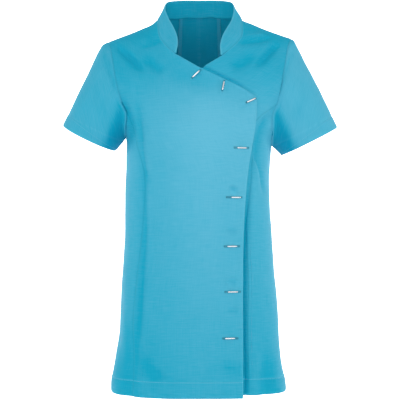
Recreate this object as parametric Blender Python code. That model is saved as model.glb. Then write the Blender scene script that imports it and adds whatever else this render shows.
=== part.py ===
"""Short-sleeved salon tunic with a stand collar and an asymmetric wrap front.

Metres, +Z up. The front faces -Y and the wearer's right is at -X. The origin lies in the middle of
the body at the height where the collar meets the shoulders. Every panel is cut from one hollow skin,
whose points are named by an angle and a height: the angle goes from the wearer's right side seam
(-90 degrees) over the centre (0) to the left side seam (90), and the height runs up the front, over
the shoulder ridge and down the back.
"""

import math

import bmesh
import bpy
import numpy as np
from mathutils import Matrix, Vector
from mathutils.bvhtree import BVHTree

# Walls and gaps
CLOTH = 0.0012
COLLAR_WALL = 0.0018
SEAM_GAP = 0.0003
WRAP_LIFT = 0.0026
WRAP_RISE = (-0.088, -0.038)

# Heights of the skin
CHEST = -0.210
RIDGE = 0.130
BACK_ARCH = 1.9
STEP = 0.0005

# Hems and underarms
SIDE_HEM = -0.727
BACK_HEM = -0.724
UNDERARM = {"right": -0.226, "left": -0.242}

# Bar buttons
BUTTON_LENGTH = 0.019
BUTTON_RADIUS = 0.0013
BUTTON_CLEAR = 0.0004
BUTTON_SIDES = 8
BUTTON_RINGS = 6

# Quads along each kind of edge
LOW_ROWS = 18
LOW_GRADE = 0.35
WRAP_NECK_ROWS = 7
COLLAR_ROWS = 6
BACK_ARM_ROWS = 9
CENTRE_COLUMNS = 12
UNDER_COLUMNS = 8
SIDE_COLUMNS = {"right": 4, "left": 6}
BACK_COLUMNS = 6
SHOULDER_COLUMNS = 5
BACK_NECK_COLUMNS = 3
SLEEVE_ROWS = 8
COLLAR_STEPS = 2
END_FADE = 4

TURQUOISE = (0.056, 0.434, 0.617, 1.0)
SILVER = (0.83, 0.85, 0.86, 1.0)


class Table:
    """Rows of numbers with named columns, read smoothly between the rows by the first column."""

    def __init__(self, columns, rows):
        self.names = columns.split()
        self.columns = dict(zip(self.names, np.array(rows, dtype=float).T))

    def at(self, column, key):
        keys = self.columns[self.names[0]]
        values = self.columns[column]
        slopes = np.gradient(values, keys)
        key = np.clip(key, keys[0], keys[-1])
        low = np.clip(np.searchsorted(keys, key) - 1, 0, len(keys) - 2)
        width = keys[low + 1] - keys[low]
        t = (key - keys[low]) / width
        start = values[low] * (1 + 2 * t) + slopes[low] * width * t
        end = values[low + 1] * (3 - 2 * t) - slopes[low + 1] * width * (1 - t)
        return start * (1 - t) ** 2 + end * t**2


# Half widths to each side and depths of the skin, with the squareness of its section
SECTIONS = Table(
    "height right left front back power",
    [
        (-0.732, 0.1735, 0.1725, 0.1340, 0.1310, 3.00),
        (-0.704, 0.1730, 0.1700, 0.1325, 0.1305, 3.00),
        (-0.682, 0.1690, 0.1660, 0.1310, 0.1300, 2.95),
        (-0.656, 0.1645, 0.1620, 0.1295, 0.1295, 2.85),
        (-0.620, 0.1590, 0.1590, 0.1270, 0.1280, 2.75),
        (-0.558, 0.1560, 0.1560, 0.1220, 0.1240, 2.60),
        (-0.460, 0.1495, 0.1475, 0.1175, 0.1120, 2.50),
        (-0.340, 0.1460, 0.1405, 0.1205, 0.0990, 2.45),
        (-0.272, 0.1445, 0.1415, 0.1300, 0.1050, 2.40),
        (-0.228, 0.1455, 0.1470, 0.1320, 0.1110, 2.40),
        (-0.195, 0.1560, 0.1570, 0.1305, 0.1150, 2.40),
        (-0.154, 0.1750, 0.1750, 0.1280, 0.1180, 2.40),
        (-0.095, 0.2030, 0.2030, 0.1240, 0.1200, 2.40),
        (0.000, 0.2080, 0.2080, 0.1180, 0.1210, 2.40),
        (0.130, 0.2080, 0.2080, 0.1130, 0.1200, 2.40),
    ],
)

# Line of the shoulder seams and, between the neck points, the arch that the skin would close with
SHOULDER = Table(
    "x height",
    [
        (-0.230, -0.0600),
        (-0.192, -0.0405),
        (-0.172, -0.0330),
        (-0.139, -0.0210),
        (-0.115, -0.0110),
        (-0.090, 0.0010),
        (-0.083, 0.0070),
        (-0.060, 0.0340),
        (-0.030, 0.0600),
        (0.000, 0.0670),
        (0.030, 0.0600),
        (0.060, 0.0360),
        (0.087, 0.0080),
        (0.105, 0.0005),
        (0.125, -0.0085),
        (0.163, -0.0230),
        (0.187, -0.0305),
        (0.230, -0.0500),
    ],
)

# Squareness of the front's rise to the shoulder, by the distance from the centre
FRONT_ARCH = Table(
    "reach power",
    [
        (0.000, 1.40),
        (0.060, 1.40),
        (0.100, 1.50),
        (0.140, 1.64),
        (0.180, 1.70),
        (0.230, 1.70),
    ],
)

# The largest folds: straight troughs in the front, from one end to the other
FOLDS = [
    dict(start=(-0.165, -0.045), end=(-0.104, -0.112), width=0.0090, depth=0.0034),
    dict(start=(0.158, -0.041), end=(0.108, -0.102), width=0.0090, depth=0.0032),
    dict(start=(-0.152, -0.600), end=(-0.146, -0.760), width=0.0120, depth=0.0038),
    dict(start=(0.150, -0.640), end=(0.146, -0.780), width=0.0130, depth=0.0034),
]

# Seams and edges on the front, as (x, z)
NECK_END = {"right": (-0.0454, -0.0720), "left": (0.0433, -0.0745)}
WRAP_CORNER = (0.1083, -0.1567)
UNDER_CORNER = (-0.030, -0.1230)
SHOULDER_TIP = {"right": -0.180, "left": 0.184}
ARMHOLE = {
    "right": [(-0.1505, -0.1645), (-0.1560, -0.1400), (-0.1640, -0.1050), (-0.1700, -0.0740), (-0.1755, -0.0500)],
    "left": [(0.1511, -0.1681), (0.1570, -0.1400), (0.1640, -0.1020), (0.1720, -0.0640), (0.1780, -0.0410)],
}
BACK_ARMHOLE = {
    "right": [(-0.1500, -0.1640), (-0.1585, -0.1200), (-0.1670, -0.0780), (-0.1740, -0.0520)],
    "left": [(0.1505, -0.1680), (0.1590, -0.1200), (0.1680, -0.0740), (0.1760, -0.0460)],
}
PRINCESS = {
    "right": [(-0.1285, -0.7248), (-0.1272, -0.5820), (-0.1184, -0.4880), (-0.1074, -0.3670)]
    + [(-0.1062, -0.3140), (-0.1237, -0.2350), (-0.1505, -0.1645)],
    "left": [(0.0938, -0.7195), (0.0928, -0.6000), (0.0937, -0.5000), (0.0929, -0.3940), (0.0997, -0.3290)]
    + [(0.1050, -0.2600), (0.1085, -0.2020), (0.1265, -0.1844), (0.1511, -0.1681)],
}
WRAP_EDGE = [(0.0822, -0.7246), (0.0829, -0.4470), (0.0845, -0.3850), (0.0897, -0.3140), (0.0988, -0.2480)]
WRAP_EDGE += [(0.1050, -0.2110), (0.1080, -0.1850), WRAP_CORNER]
WRAP_NECK = [WRAP_CORNER, (0.0850, -0.1415), (0.0495, -0.1242), (0.0030, -0.1013), NECK_END["right"]]
UNDER_EDGE = [(-0.030, -0.7195), UNDER_CORNER]
UNDER_NECK = [UNDER_CORNER, (0.0030, -0.1010), NECK_END["left"]]
BACK_SEAM = {
    "right": [(-0.0750, BACK_HEM), (-0.0700, -0.5600), (-0.0560, -0.3700), (-0.0490, -0.2620)],
    "left": [(0.0750, BACK_HEM), (0.0700, -0.5600), (0.0570, -0.3700), (0.0505, -0.2620)],
}
BACK_SEAM_TOP = {
    "right": [(-0.0490, -0.2620), (-0.0425, -0.1500), (-0.0375, -0.0500), (-0.0350, 0.0215)],
    "left": [(0.0505, -0.2620), (0.0445, -0.1500), (0.0400, -0.0500), (0.0377, 0.0216)],
}

# The collar's seam on the neckline (x, z, on the back or not) and the free edge above each point
COLLAR = [
    dict(seam=(-0.0454, -0.0720), back=False, top=(-0.0450, -0.0850, -0.0686)),
    dict(seam=(-0.0575, -0.0600), back=False, top=(-0.0412, -0.0725, -0.0520)),
    dict(seam=(-0.0669, -0.0493), back=False, top=(-0.0415, -0.0630, -0.0390)),
    dict(seam=(-0.0792, -0.0252), back=False, top=(-0.0490, -0.0410, -0.0145)),
    dict(seam=(-0.0818, -0.0040), back=False, top=(-0.0600, -0.0200, 0.0080)),
    dict(seam=(-0.0830, 0.0070), back=False, top=(-0.0685, 0.0020, 0.0320)),
    dict(seam=(-0.0700, 0.0155), back=True, top=(-0.0655, 0.0240, 0.0475)),
    dict(seam=(-0.0500, 0.0195), back=True, top=(-0.0500, 0.0410, 0.0525)),
    dict(seam=(-0.0350, 0.0215), back=True, top=(-0.0350, 0.0480, 0.0545)),
    dict(seam=(0.0000, 0.0225), back=True, top=(0.0000, 0.0530, 0.0555)),
    dict(seam=(0.0377, 0.0216), back=True, top=(0.0365, 0.0480, 0.0545)),
    dict(seam=(0.0520, 0.0200), back=True, top=(0.0510, 0.0415, 0.0528)),
    dict(seam=(0.0720, 0.0160), back=True, top=(0.0670, 0.0250, 0.0475)),
    dict(seam=(0.0870, 0.0080), back=False, top=(0.0705, 0.0020, 0.0320)),
    dict(seam=(0.0868, -0.0060), back=False, top=(0.0640, -0.0200, 0.0040)),
    dict(seam=(0.0857, -0.0252), back=False, top=(0.0530, -0.0395, -0.0160)),
    dict(seam=(0.0744, -0.0456), back=False, top=(0.0440, -0.0600, -0.0375)),
    dict(seam=(0.0600, -0.0605), back=False, top=(0.0408, -0.0735, -0.0560)),
    dict(seam=(0.0433, -0.0745), back=False, top=(0.0432, -0.0850, -0.0724)),
]
COLLAR_KNOTS = {"right": 0, "right_point": 5, "right_seam": 8, "left_seam": 10, "left_point": 13, "left": 18}

# Top and under lines of the sleeves, with half their depth, how far the front dips and the back rises
SLEEVE_COLUMNS = "along top_x top_z under_x under_z depth dip rise"
SLEEVES = {
    "right": Table(
        SLEEVE_COLUMNS,
        [
            (0.00, -0.1800, -0.0362, -0.1464, -0.2260, 0.0660, 0.0000, 0.0000),
            (0.07, -0.1925, -0.0420, -0.1479, -0.2279, 0.0665, 0.0000, 0.0000),
            (0.13, -0.1975, -0.0500, -0.1490, -0.2294, 0.0670, 0.0005, 0.0005),
            (0.30, -0.2110, -0.0780, -0.1525, -0.2340, 0.0665, 0.0015, 0.0015),
            (0.50, -0.2270, -0.1120, -0.1566, -0.2392, 0.0645, 0.0030, 0.0030),
            (0.75, -0.2475, -0.1570, -0.1618, -0.2460, 0.0610, 0.0050, 0.0060),
            (1.00, -0.2700, -0.2020, -0.1670, -0.2526, 0.0580, 0.0075, 0.0090),
        ],
    ),
    "left": Table(
        SLEEVE_COLUMNS,
        [
            (0.00, 0.1840, -0.0293, 0.1470, -0.2420, 0.0660, 0.0000, 0.0000),
            (0.07, 0.1905, -0.0345, 0.1484, -0.2434, 0.0665, 0.0000, 0.0000),
            (0.13, 0.1975, -0.0480, 0.1495, -0.2445, 0.0670, 0.0002, 0.0005),
            (0.30, 0.2115, -0.0760, 0.1529, -0.2479, 0.0665, 0.0006, 0.0015),
            (0.50, 0.2300, -0.1125, 0.1568, -0.2518, 0.0645, 0.0012, 0.0035),
            (0.75, 0.2535, -0.1620, 0.1617, -0.2567, 0.0610, 0.0020, 0.0070),
            (1.00, 0.2748, -0.2072, 0.1666, -0.2616, 0.0580, 0.0028, 0.0110),
        ],
    ),
}
SLEEVE_POWER = 2.2

# Bar buttons from the neck down: their middles and their slant in degrees
BUTTONS = [
    dict(x=-0.0058, z=-0.1142, slant=43),
    dict(x=0.0455, z=-0.1366, slant=79),
    dict(x=0.0974, z=-0.1639, slant=27),
    dict(x=0.0789, z=-0.2532, slant=0),
    dict(x=0.0685, z=-0.3467, slant=0),
    dict(x=0.0619, z=-0.4397, slant=0),
    dict(x=0.0628, z=-0.5257, slant=0),
    dict(x=0.0577, z=-0.6125, slant=0),
]


def smoothstep(low, high, value):
    t = np.clip((value - low) / (high - low), 0, 1)
    return t * t * (3 - 2 * t)


def unit(vectors):
    return vectors / np.linalg.norm(vectors, axis=-1, keepdims=True)


def squircle(angle, power):
    """The across and along parts of a point on a rounded square of half width one."""
    across = np.sin(angle)
    along = np.cos(angle)
    reach = (np.abs(across) ** power + np.abs(along) ** power) ** (-1 / power)
    return across * reach, along * reach


def fold_depth(x, z):
    """How far the largest troughs take a point of the front inwards."""
    depth = 0
    for fold in FOLDS:
        start = np.array(fold["start"])
        run = np.array(fold["end"]) - start
        along = ((x - start[0]) * run[0] + (z - start[1]) * run[1]) / (run @ run)
        off = ((x - start[0]) * run[1] - (z - start[1]) * run[0]) / np.linalg.norm(run)
        fade = smoothstep(0, 0.3, along) * smoothstep(1, 0.6, along)
        depth = depth + fold["depth"] * fade * np.exp(-((off / fold["width"]) ** 2))
    return depth


def bare_skin(angle, height):
    """A point of the smooth skin."""
    behind = (height > RIDGE) != (np.cos(angle) < 0)
    level = np.where(height > RIDGE, 2 * RIDGE - height, height)
    across, along = squircle(angle, SECTIONS.at("power", level))
    x = across * np.where(across < 0, SECTIONS.at("right", level), SECTIONS.at("left", level))
    arch = np.where(behind, BACK_ARCH, FRONT_ARCH.at("power", np.abs(x)))
    rise, fall = squircle((level - CHEST) / (RIDGE - CHEST) * math.pi / 2, arch)
    above = level > CHEST
    z = np.where(above, CHEST + (SHOULDER.at("height", x) - CHEST) * rise, level)
    depth = np.where(behind, SECTIONS.at("back", level), -SECTIONS.at("front", level))
    y = depth * np.abs(along) * np.where(above, fall, 1)
    return np.stack([x, y, z], axis=-1)


def outward(surface, angle, height):
    """Unit normals of a surface of angle and height."""
    across = surface(angle + STEP, height) - surface(angle - STEP, height)
    up = surface(angle, height + STEP) - surface(angle, height - STEP)
    return unit(np.cross(across, up))


def skin(angle, height, lift=0.0):
    """A point of the worn cloth's outer face, with the folds, lifted where it overlaps the under panel."""
    point = bare_skin(angle, height)
    front = smoothstep(RIDGE, RIDGE - 0.05, height)
    out = lift * smoothstep(*WRAP_RISE, point[..., 0]) - front * fold_depth(point[..., 0], point[..., 2])
    return point + outward(bare_skin, angle, height) * out[..., None]


def locate(x, z, back=False):
    """The angle and height of the skin's point at x and z, on the front or the back."""
    t = np.clip((z - CHEST) / (SHOULDER.at("height", x) - CHEST), 0, 1)
    power = BACK_ARCH if back else FRONT_ARCH.at("power", np.abs(x))
    rise = np.arctan2(t, (1 - t**power) ** (1 / power))
    level = np.where(z < CHEST, z, CHEST + rise / (math.pi / 2) * (RIDGE - CHEST))
    half = np.where(x < 0, SECTIONS.at("right", level), SECTIONS.at("left", level))
    across = np.clip(np.abs(x) / half, 0, 1)
    power = SECTIONS.at("power", level)
    angle = np.arctan2(across, (1 - across**power) ** (1 / power)) * np.sign(x)
    return np.stack([angle, np.where(back, 2 * RIDGE - level, level)], axis=-1)


def smooth_curve(knots, places):
    """Points of a smooth curve through the knots at places counted in knots."""
    knots = np.array(knots, dtype=float)
    chords = np.linalg.norm(np.diff(knots, axis=0), axis=1)
    reach = np.concatenate([[0], np.cumsum(chords)])
    keys = np.interp(places, range(len(knots)), reach)
    names = ["reach"] + ["part%d" % part for part in range(knots.shape[1])]
    table = Table(" ".join(names), np.column_stack([reach, knots]))
    return np.stack([table.at(name, keys) for name in names[1:]], axis=-1)


def spread(knots, fractions):
    """Points of a smooth curve through the knots at fractions of its length."""
    places = np.linspace(0, len(knots) - 1, 20 * len(knots))
    dense = smooth_curve(knots, places)
    reach = np.concatenate([[0], np.cumsum(np.linalg.norm(np.diff(dense, axis=0), axis=1))])
    return np.stack([np.interp(fractions, reach / reach[-1], part) for part in dense.T], axis=-1)


def seam(points, rows, grade=0.0, back=False):
    """An edge through (x, z) points, with longer steps at its start when graded."""
    t = np.linspace(0, 1, rows + 1)
    x, z = spread(points, t * (1 + grade * (1 - t))).T
    return locate(x, z, back)


def straight(start, end, columns):
    """An edge that is straight in angle and height."""
    t = np.linspace(0, 1, columns + 1)[:, None]
    return np.array(start) * (1 - t) + np.array(end) * t


def scoop(start, end, columns):
    """A quarter ellipse in angle and height that leaves the underarm level."""
    t = np.linspace(0, math.pi / 2, columns + 1)
    angle = start[0] + (end[0] - start[0]) * np.sin(t)
    height = start[1] + (end[1] - start[1]) * (1 - np.cos(t))
    return np.stack([angle, height], axis=-1)


def joined(*edges):
    """One edge from several that follow each other."""
    return np.concatenate([edges[0]] + [edge[1:] for edge in edges[1:]])


def patch(left, right, bottom, top):
    """Angles and heights of a grid between four edges, whose end curves fade out away from the ends."""
    v = np.linspace(0, 1, len(left))[:, None, None]
    u = np.linspace(0, 1, len(bottom))[None, :, None]
    sides = left[:, None] * (1 - u) + right[:, None] * u
    low = bottom[0] * (1 - u) + bottom[-1] * u
    high = top[0] * (1 - u) + top[-1] * u
    return sides + (bottom - low) * (1 - v) ** END_FADE + (top - high) * v**END_FADE


def pull_in(points, normals, distance, loop):
    """Moves the grid's border by a distance towards its inside, along the cloth."""
    moved = points.copy()
    borders = [(points[0], points[1], normals[0], moved[0]), (points[-1], points[-2], normals[-1], moved[-1])]
    if not loop:
        borders += [(points[:, 0], points[:, 1], normals[:, 0], moved[:, 0])]
        borders += [(points[:, -1], points[:, -2], normals[:, -1], moved[:, -1])]
    for edge, inside, normal, target in borders:
        if loop:
            run = np.roll(edge, -1, axis=0) - np.roll(edge, 1, axis=0)
        else:
            run = np.gradient(edge, axis=0)
        inward = unit(np.cross(normal, run))
        inward *= np.sign(np.sum(inward * (inside - edge), axis=-1, keepdims=True))
        target += inward * distance
    return moved


def add_material(obj, colour, roughness, metallic):
    material = bpy.data.materials.new(obj.name)
    material.use_nodes = True
    shader = material.node_tree.nodes["Principled BSDF"]
    shader.inputs["Base Color"].default_value = colour
    shader.inputs["Roughness"].default_value = roughness
    shader.inputs["Metallic"].default_value = metallic
    obj.data.materials.append(material)


def add_object(name, form):
    mesh = bpy.data.meshes.new(name)
    form.to_mesh(mesh)
    form.free()
    mesh.shade_smooth()
    mesh.set_sharp_from_angle(angle=math.radians(50))
    obj = bpy.data.objects.new(name, mesh)
    bpy.context.scene.collection.objects.link(obj)
    return obj


def wall(name, points, normals, thickness, gap, loop=False):
    """A closed cloth wall whose outer face is the grid of points, drawn in by the gap. A loop closes on itself."""
    rows, columns = points.shape[:2]
    outer = pull_in(points, normals, gap, loop)
    inner = outer - normals * thickness
    form = bmesh.new()
    outside = [[form.verts.new(point) for point in row] for row in outer]
    inside = [[form.verts.new(point) for point in row] for row in inner]
    spans = columns if loop else columns - 1
    for row in range(rows - 1):
        for column in range(spans):
            after = (column + 1) % columns
            corners = [(row, column), (row, after), (row + 1, after), (row + 1, column)]
            a, b, c, d = (outer[corner] for corner in corners)
            turn = int(np.linalg.norm(c - a) > np.linalg.norm(d - b))
            corners = corners[turn:] + corners[:turn]
            for face in (corners[:3], corners[2:] + corners[:1]):
                form.faces.new([outside[r][c] for r, c in face])
                form.faces.new([inside[r][c] for r, c in reversed(face)])
    rims = [[(0, c) for c in range(columns)], [(rows - 1, c) for c in range(columns)]]
    if not loop:
        rims = [rims[0] + [(r, columns - 1) for r in range(1, rows)] + rims[1][-2::-1]]
        rims[0] += [(r, 0) for r in range(rows - 2, 0, -1)]
    for rim in rims:
        for here, there in zip(rim, rim[1:] + rim[:1]):
            a, b = (outside[r][c] for r, c in (here, there))
            c, d = (inside[r][c] for r, c in (there, here))
            form.faces.new([a, b, c])
            form.faces.new([c, d, a])
    bmesh.ops.recalc_face_normals(form, faces=form.faces)
    obj = add_object(name, form)
    add_material(obj, TURQUOISE, 0.75, 0.0)
    return obj


def skin_panel(name, grid, lift=0.0):
    """A panel cut from the skin. Returns its outer points and normals for the pieces sewn to it."""

    def surface(angle, height):
        return skin(angle, height, lift)

    points = surface(grid[..., 0], grid[..., 1])
    normals = outward(surface, grid[..., 0], grid[..., 1])
    wall(name, points, normals, CLOTH, SEAM_GAP / 2)
    return points, normals


def collar_edge(start, end, columns):
    """Part of the neckline between two of the collar's rows, in angle and height."""
    first, last = COLLAR_KNOTS[start], COLLAR_KNOTS[end]
    knots = [locate(*row["seam"], row["back"]) for row in COLLAR[first : last + 1]]
    return smooth_curve(knots, np.linspace(0, last - first, columns + 1))


def tip(side):
    """The shoulder's outer end, where the seam meets the armhole."""
    x = SHOULDER_TIP[side]
    return x, float(SHOULDER.at("height", x))


def front_panels(side, hand):
    """The centre and side panels of one front. Returns the armhole's points and the neck's."""
    far = hand * math.pi / 2
    bust = locate(*PRINCESS[side][-1])
    arm = seam(ARMHOLE[side] + [tip(side)], WRAP_NECK_ROWS + COLLAR_ROWS)
    princess = seam(PRINCESS[side], LOW_ROWS, LOW_GRADE)
    princess[-1] = arm[0] = bust
    outer = joined(princess, arm)
    if side == "right":
        neck = joined(seam(WRAP_EDGE, LOW_ROWS, LOW_GRADE), seam(WRAP_NECK, WRAP_NECK_ROWS))
        collar = collar_edge("right", "right_point", COLLAR_ROWS)
        columns, lift = CENTRE_COLUMNS, WRAP_LIFT
    else:
        neck = joined(seam(UNDER_EDGE, LOW_ROWS, LOW_GRADE), seam(UNDER_NECK, WRAP_NECK_ROWS))
        collar = collar_edge("left_point", "left", COLLAR_ROWS)[::-1]
        columns, lift = UNDER_COLUMNS, 0.0
    inner = joined(neck, collar)
    edges = (outer, inner) if side == "right" else (inner, outer)
    bottom, top = (straight(edges[0][row], edges[1][row], columns) for row in (0, -1))
    points, normals = skin_panel(side + "_front_centre", patch(*edges, bottom, top), lift)

    underarm = (far, UNDERARM[side])
    seam_line = straight((far, SIDE_HEM), underarm, LOW_ROWS)
    hem = straight(seam_line[0], princess[0], SIDE_COLUMNS[side])
    curve = scoop(underarm, bust, SIDE_COLUMNS[side])
    if side == "right":
        grid = patch(seam_line, princess, hem, curve)
    else:
        grid = patch(princess, seam_line, hem[::-1], curve[::-1])
    side_points, side_normals = skin_panel(side + "_front_side", grid)

    arm_column, neck_column = (0, -1) if side == "right" else (-1, 0)
    scooped = slice(None) if side == "right" else slice(None, None, -1)
    arm_points = joined(side_points[-1][scooped], points[LOW_ROWS:, arm_column])
    arm_normals = joined(side_normals[-1][scooped], normals[LOW_ROWS:, arm_column])
    neck_rows = slice(LOW_ROWS + WRAP_NECK_ROWS, None)
    return (arm_points, arm_normals), (points[neck_rows, neck_column], normals[neck_rows, neck_column])


def back_panels():
    """The centre back and the two side backs. Returns each side's armhole and the neck's points."""
    seams = {}
    for side in BACK_SEAM:
        low = seam(BACK_SEAM[side], LOW_ROWS, LOW_GRADE, back=True)
        seams[side] = joined(low, seam(BACK_SEAM_TOP[side], BACK_ARM_ROWS, back=True))
    hem = straight(seams["right"][0], seams["left"][0], BACK_COLUMNS)
    neck = collar_edge("right_seam", "left_seam", BACK_COLUMNS)
    seams["right"][-1], seams["left"][-1] = neck[0], neck[-1]
    centre, normals = skin_panel("back_centre", patch(seams["right"], seams["left"], hem, neck))
    holes = {}
    necks = {"centre": (centre[-1], normals[-1])}
    for side, hand in (("right", -1), ("left", 1)):
        far = hand * math.pi / 2
        over = 2 * RIDGE
        underarm = (far, over - UNDERARM[side])
        deepest = locate(*BACK_ARMHOLE[side][0], back=True)
        arm = seam(BACK_ARMHOLE[side] + [tip(side)], BACK_ARM_ROWS - 3, back=True)
        arm[0] = deepest
        outer = joined(straight((far, over - SIDE_HEM), underarm, LOW_ROWS), scoop(underarm, deepest, 3), arm)
        if side == "right":
            collar = collar_edge("right_point", "right_seam", BACK_NECK_COLUMNS)
        else:
            collar = collar_edge("left_seam", "left_point", BACK_NECK_COLUMNS)[::-1]
        top = joined(straight(outer[-1], collar[0], SHOULDER_COLUMNS), collar)
        hem = straight(outer[0], seams[side][0], len(top) - 1)
        grid = patch(outer, seams[side], hem, top)
        points, normals = skin_panel("back_side_" + side, grid)
        holes[side] = (points[LOW_ROWS:, 0], normals[LOW_ROWS:, 0])
        necks[side] = (points[-1, SHOULDER_COLUMNS:], normals[-1, SHOULDER_COLUMNS:])
    return holes, necks


def mitred(normals, neighbours):
    """Normals at a seam that follow the neighbour's where the two pieces nearly continue each other."""
    share = smoothstep(0.2, 0.7, np.sum(normals * neighbours, axis=-1, keepdims=True))
    return unit(neighbours * share + normals * (1 - share))


def sleeve(side, hand, front, back):
    """A set-in sleeve from the armhole's points to the cuff, as one closed loop of cloth."""
    hole = np.concatenate([front[0][:0:-1], back[0][:-1]])
    hole_normals = np.concatenate([front[1][:0:-1], back[1][:-1]])
    table = SLEEVES[side]

    def line(name, along):
        return np.array([table.at(name + "_x", along), 0 * along, table.at(name + "_z", along)])

    def ring(angle, along):
        top, under = line("top", along), line("under", along)
        middle, reach = (top + under) / 2, (top - under) / 2
        fore, up = squircle(angle, SLEEVE_POWER)
        down = np.array([hand * 0.44, 0, -0.9])
        depth = table.at("depth", along) * np.array([0, -1, 0])
        tilt = fore * np.where(fore > 0, table.at("dip", along), table.at("rise", along))
        return middle + np.outer(up, reach) + np.outer(fore, depth) + np.outer(tilt, down)

    top, under = line("top", 0.0), line("under", 0.0)
    middle, reach = (top + under) / 2, (top - under) / 2
    up = (hole - middle) @ reach / (reach @ reach)
    fore = -hole[:, 1] / table.at("depth", 0.0)
    angles = np.arctan2(fore, up)
    change = hole - ring(angles, 0.0)
    steps = np.linspace(0, 1, SLEEVE_ROWS + 1)
    alongs = steps * (0.62 + 0.38 * steps)
    points = np.array([ring(angles, along) + change * (1 - along) ** 2.5 for along in alongs])
    round_run = np.roll(points, -1, axis=1) - np.roll(points, 1, axis=1)
    down_run = np.gradient(points, axis=0)
    normals = unit(np.cross(down_run, round_run)) * hand
    middle = points.mean(axis=1, keepdims=True)
    if np.sum(normals * (points - middle)) < 0:
        normals = -normals
    normals[0] = mitred(normals[0], hole_normals)
    wall("sleeve_" + side, points, normals, CLOTH, SEAM_GAP, loop=True)


def collar(base, base_normals):
    """The stand collar, from the neckline's points up to its free edge."""
    parts = [("right", "right_point", COLLAR_ROWS), ("right_point", "right_seam", BACK_NECK_COLUMNS)]
    parts += [("right_seam", "left_seam", BACK_COLUMNS), ("left_seam", "left_point", BACK_NECK_COLUMNS)]
    parts += [("left_point", "left", COLLAR_ROWS)]
    places = [np.linspace(COLLAR_KNOTS[a], COLLAR_KNOTS[b], columns + 1) for a, b, columns in parts]
    top = smooth_curve([row["top"] for row in COLLAR], joined(*places))
    v = np.linspace(0, 1, COLLAR_STEPS + 1)[:, None, None]
    points = base[None] * (1 - v) + top[None] * v
    along_run = np.gradient(points, axis=1)
    up_run = np.gradient(points, axis=0)
    normals = unit(np.cross(up_run, along_run))
    if np.sum(normals * (points - points.mean(axis=(0, 1)))) < 0:
        normals = -normals
    normals[0] = mitred(normals[0], base_normals)
    wall("collar", points, normals, COLLAR_WALL, SEAM_GAP)


def bar_mesh():
    """A round-ended bar along X."""
    form = bmesh.new()
    turn = Matrix.Rotation(math.pi / 2, 4, "Y")
    bmesh.ops.create_uvsphere(form, u_segments=BUTTON_SIDES, v_segments=BUTTON_RINGS, radius=1, matrix=turn)
    half = BUTTON_LENGTH / 2 - BUTTON_RADIUS
    bmesh.ops.scale(form, vec=(BUTTON_RADIUS,) * 3, verts=form.verts)
    middle = BUTTON_RADIUS * 0.1
    for vert in form.verts:
        if abs(vert.co.x) > middle:
            vert.co.x += math.copysign(half, vert.co.x)
    return form


def button(number, row, cloth):
    """One bar button, lying just clear of the wrap panel's facets."""
    slant = math.radians(row["slant"])
    reach = BUTTON_LENGTH / 2 - BUTTON_RADIUS
    ends = []
    for way in (-reach, reach):
        place = locate(row["x"] + way * math.cos(slant), row["z"] + way * math.sin(slant))
        spot, normal, _, _ = cloth.find_nearest(Vector(skin(*place, WRAP_LIFT)))
        ends.append(spot + normal * (BUTTON_RADIUS + BUTTON_CLEAR))
    centre = (ends[0] + ends[1]) / 2
    spot, normal, _, _ = cloth.find_nearest(centre)
    short = BUTTON_RADIUS + BUTTON_CLEAR - (centre - spot).dot(normal)
    obj = add_object("button_%d" % number, bar_mesh())
    add_material(obj, SILVER, 0.22, 1.0)
    along = (ends[1] - ends[0]).normalized()
    side = normal.cross(along).normalized()
    turn = Matrix((along, side, along.cross(side))).transposed().to_4x4()
    obj.matrix_world = Matrix.Translation(centre + normal * max(short, 0)) @ turn


def clear_scene():
    for obj in list(bpy.data.objects):
        bpy.data.objects.remove(obj, do_unlink=True)


def build():
    clear_scene()
    holes, necks = back_panels()
    fronts = {side: front_panels(side, hand) for side, hand in (("right", -1), ("left", 1))}
    for side, hand in (("right", -1), ("left", 1)):
        sleeve(side, hand, fronts[side][0], holes[side])
    left_neck = [part[::-1] for part in necks["left"]]
    left_front = [part[::-1] for part in fronts["left"][1]]
    parts = zip(fronts["right"][1], necks["right"], necks["centre"], left_neck, left_front)
    collar(*(joined(*pieces) for pieces in parts))
    wrap = bpy.data.objects["right_front_centre"]
    cloth = BVHTree.FromObject(wrap, bpy.context.evaluated_depsgraph_get())
    for number, row in enumerate(BUTTONS, 1):
        button(number, row, cloth)


build()
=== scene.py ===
"""The look of a short-sleeved salon tunic: its cloth panels, sewing, bar buttons, light and camera.

Metres, +Z up, the front faces -Y and the wearer's right is at -X. Every panel is cut from one skin, whose
points are named by an angle round the body and a height that runs up the front, over the shoulder and
down the back. Creases are laid on the skin as soft troughs and ridges.
"""

import math

import bmesh
import bpy
import numpy as np
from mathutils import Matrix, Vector
from mathutils.bvhtree import BVHTree


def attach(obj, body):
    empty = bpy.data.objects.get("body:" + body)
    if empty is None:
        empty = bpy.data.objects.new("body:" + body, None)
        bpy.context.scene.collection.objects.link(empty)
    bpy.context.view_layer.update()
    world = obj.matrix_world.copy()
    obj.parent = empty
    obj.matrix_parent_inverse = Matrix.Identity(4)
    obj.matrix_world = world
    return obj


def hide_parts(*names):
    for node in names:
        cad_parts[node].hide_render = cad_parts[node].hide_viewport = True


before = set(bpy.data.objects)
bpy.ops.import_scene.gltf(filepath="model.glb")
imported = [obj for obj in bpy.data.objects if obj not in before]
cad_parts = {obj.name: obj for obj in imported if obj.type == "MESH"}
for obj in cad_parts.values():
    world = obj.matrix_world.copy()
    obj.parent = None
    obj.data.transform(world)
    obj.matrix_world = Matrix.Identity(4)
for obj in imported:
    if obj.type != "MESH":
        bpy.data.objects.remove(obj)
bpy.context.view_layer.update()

# Cloth
CLOTH = 0.0012
COLLAR_WALL = 0.0018
WRAP_LIFT = 0.0026
WRAP_RISE = (-0.088, -0.038)
MESH_STEP = 0.0038
COLLAR_STEP = 0.0028
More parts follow.
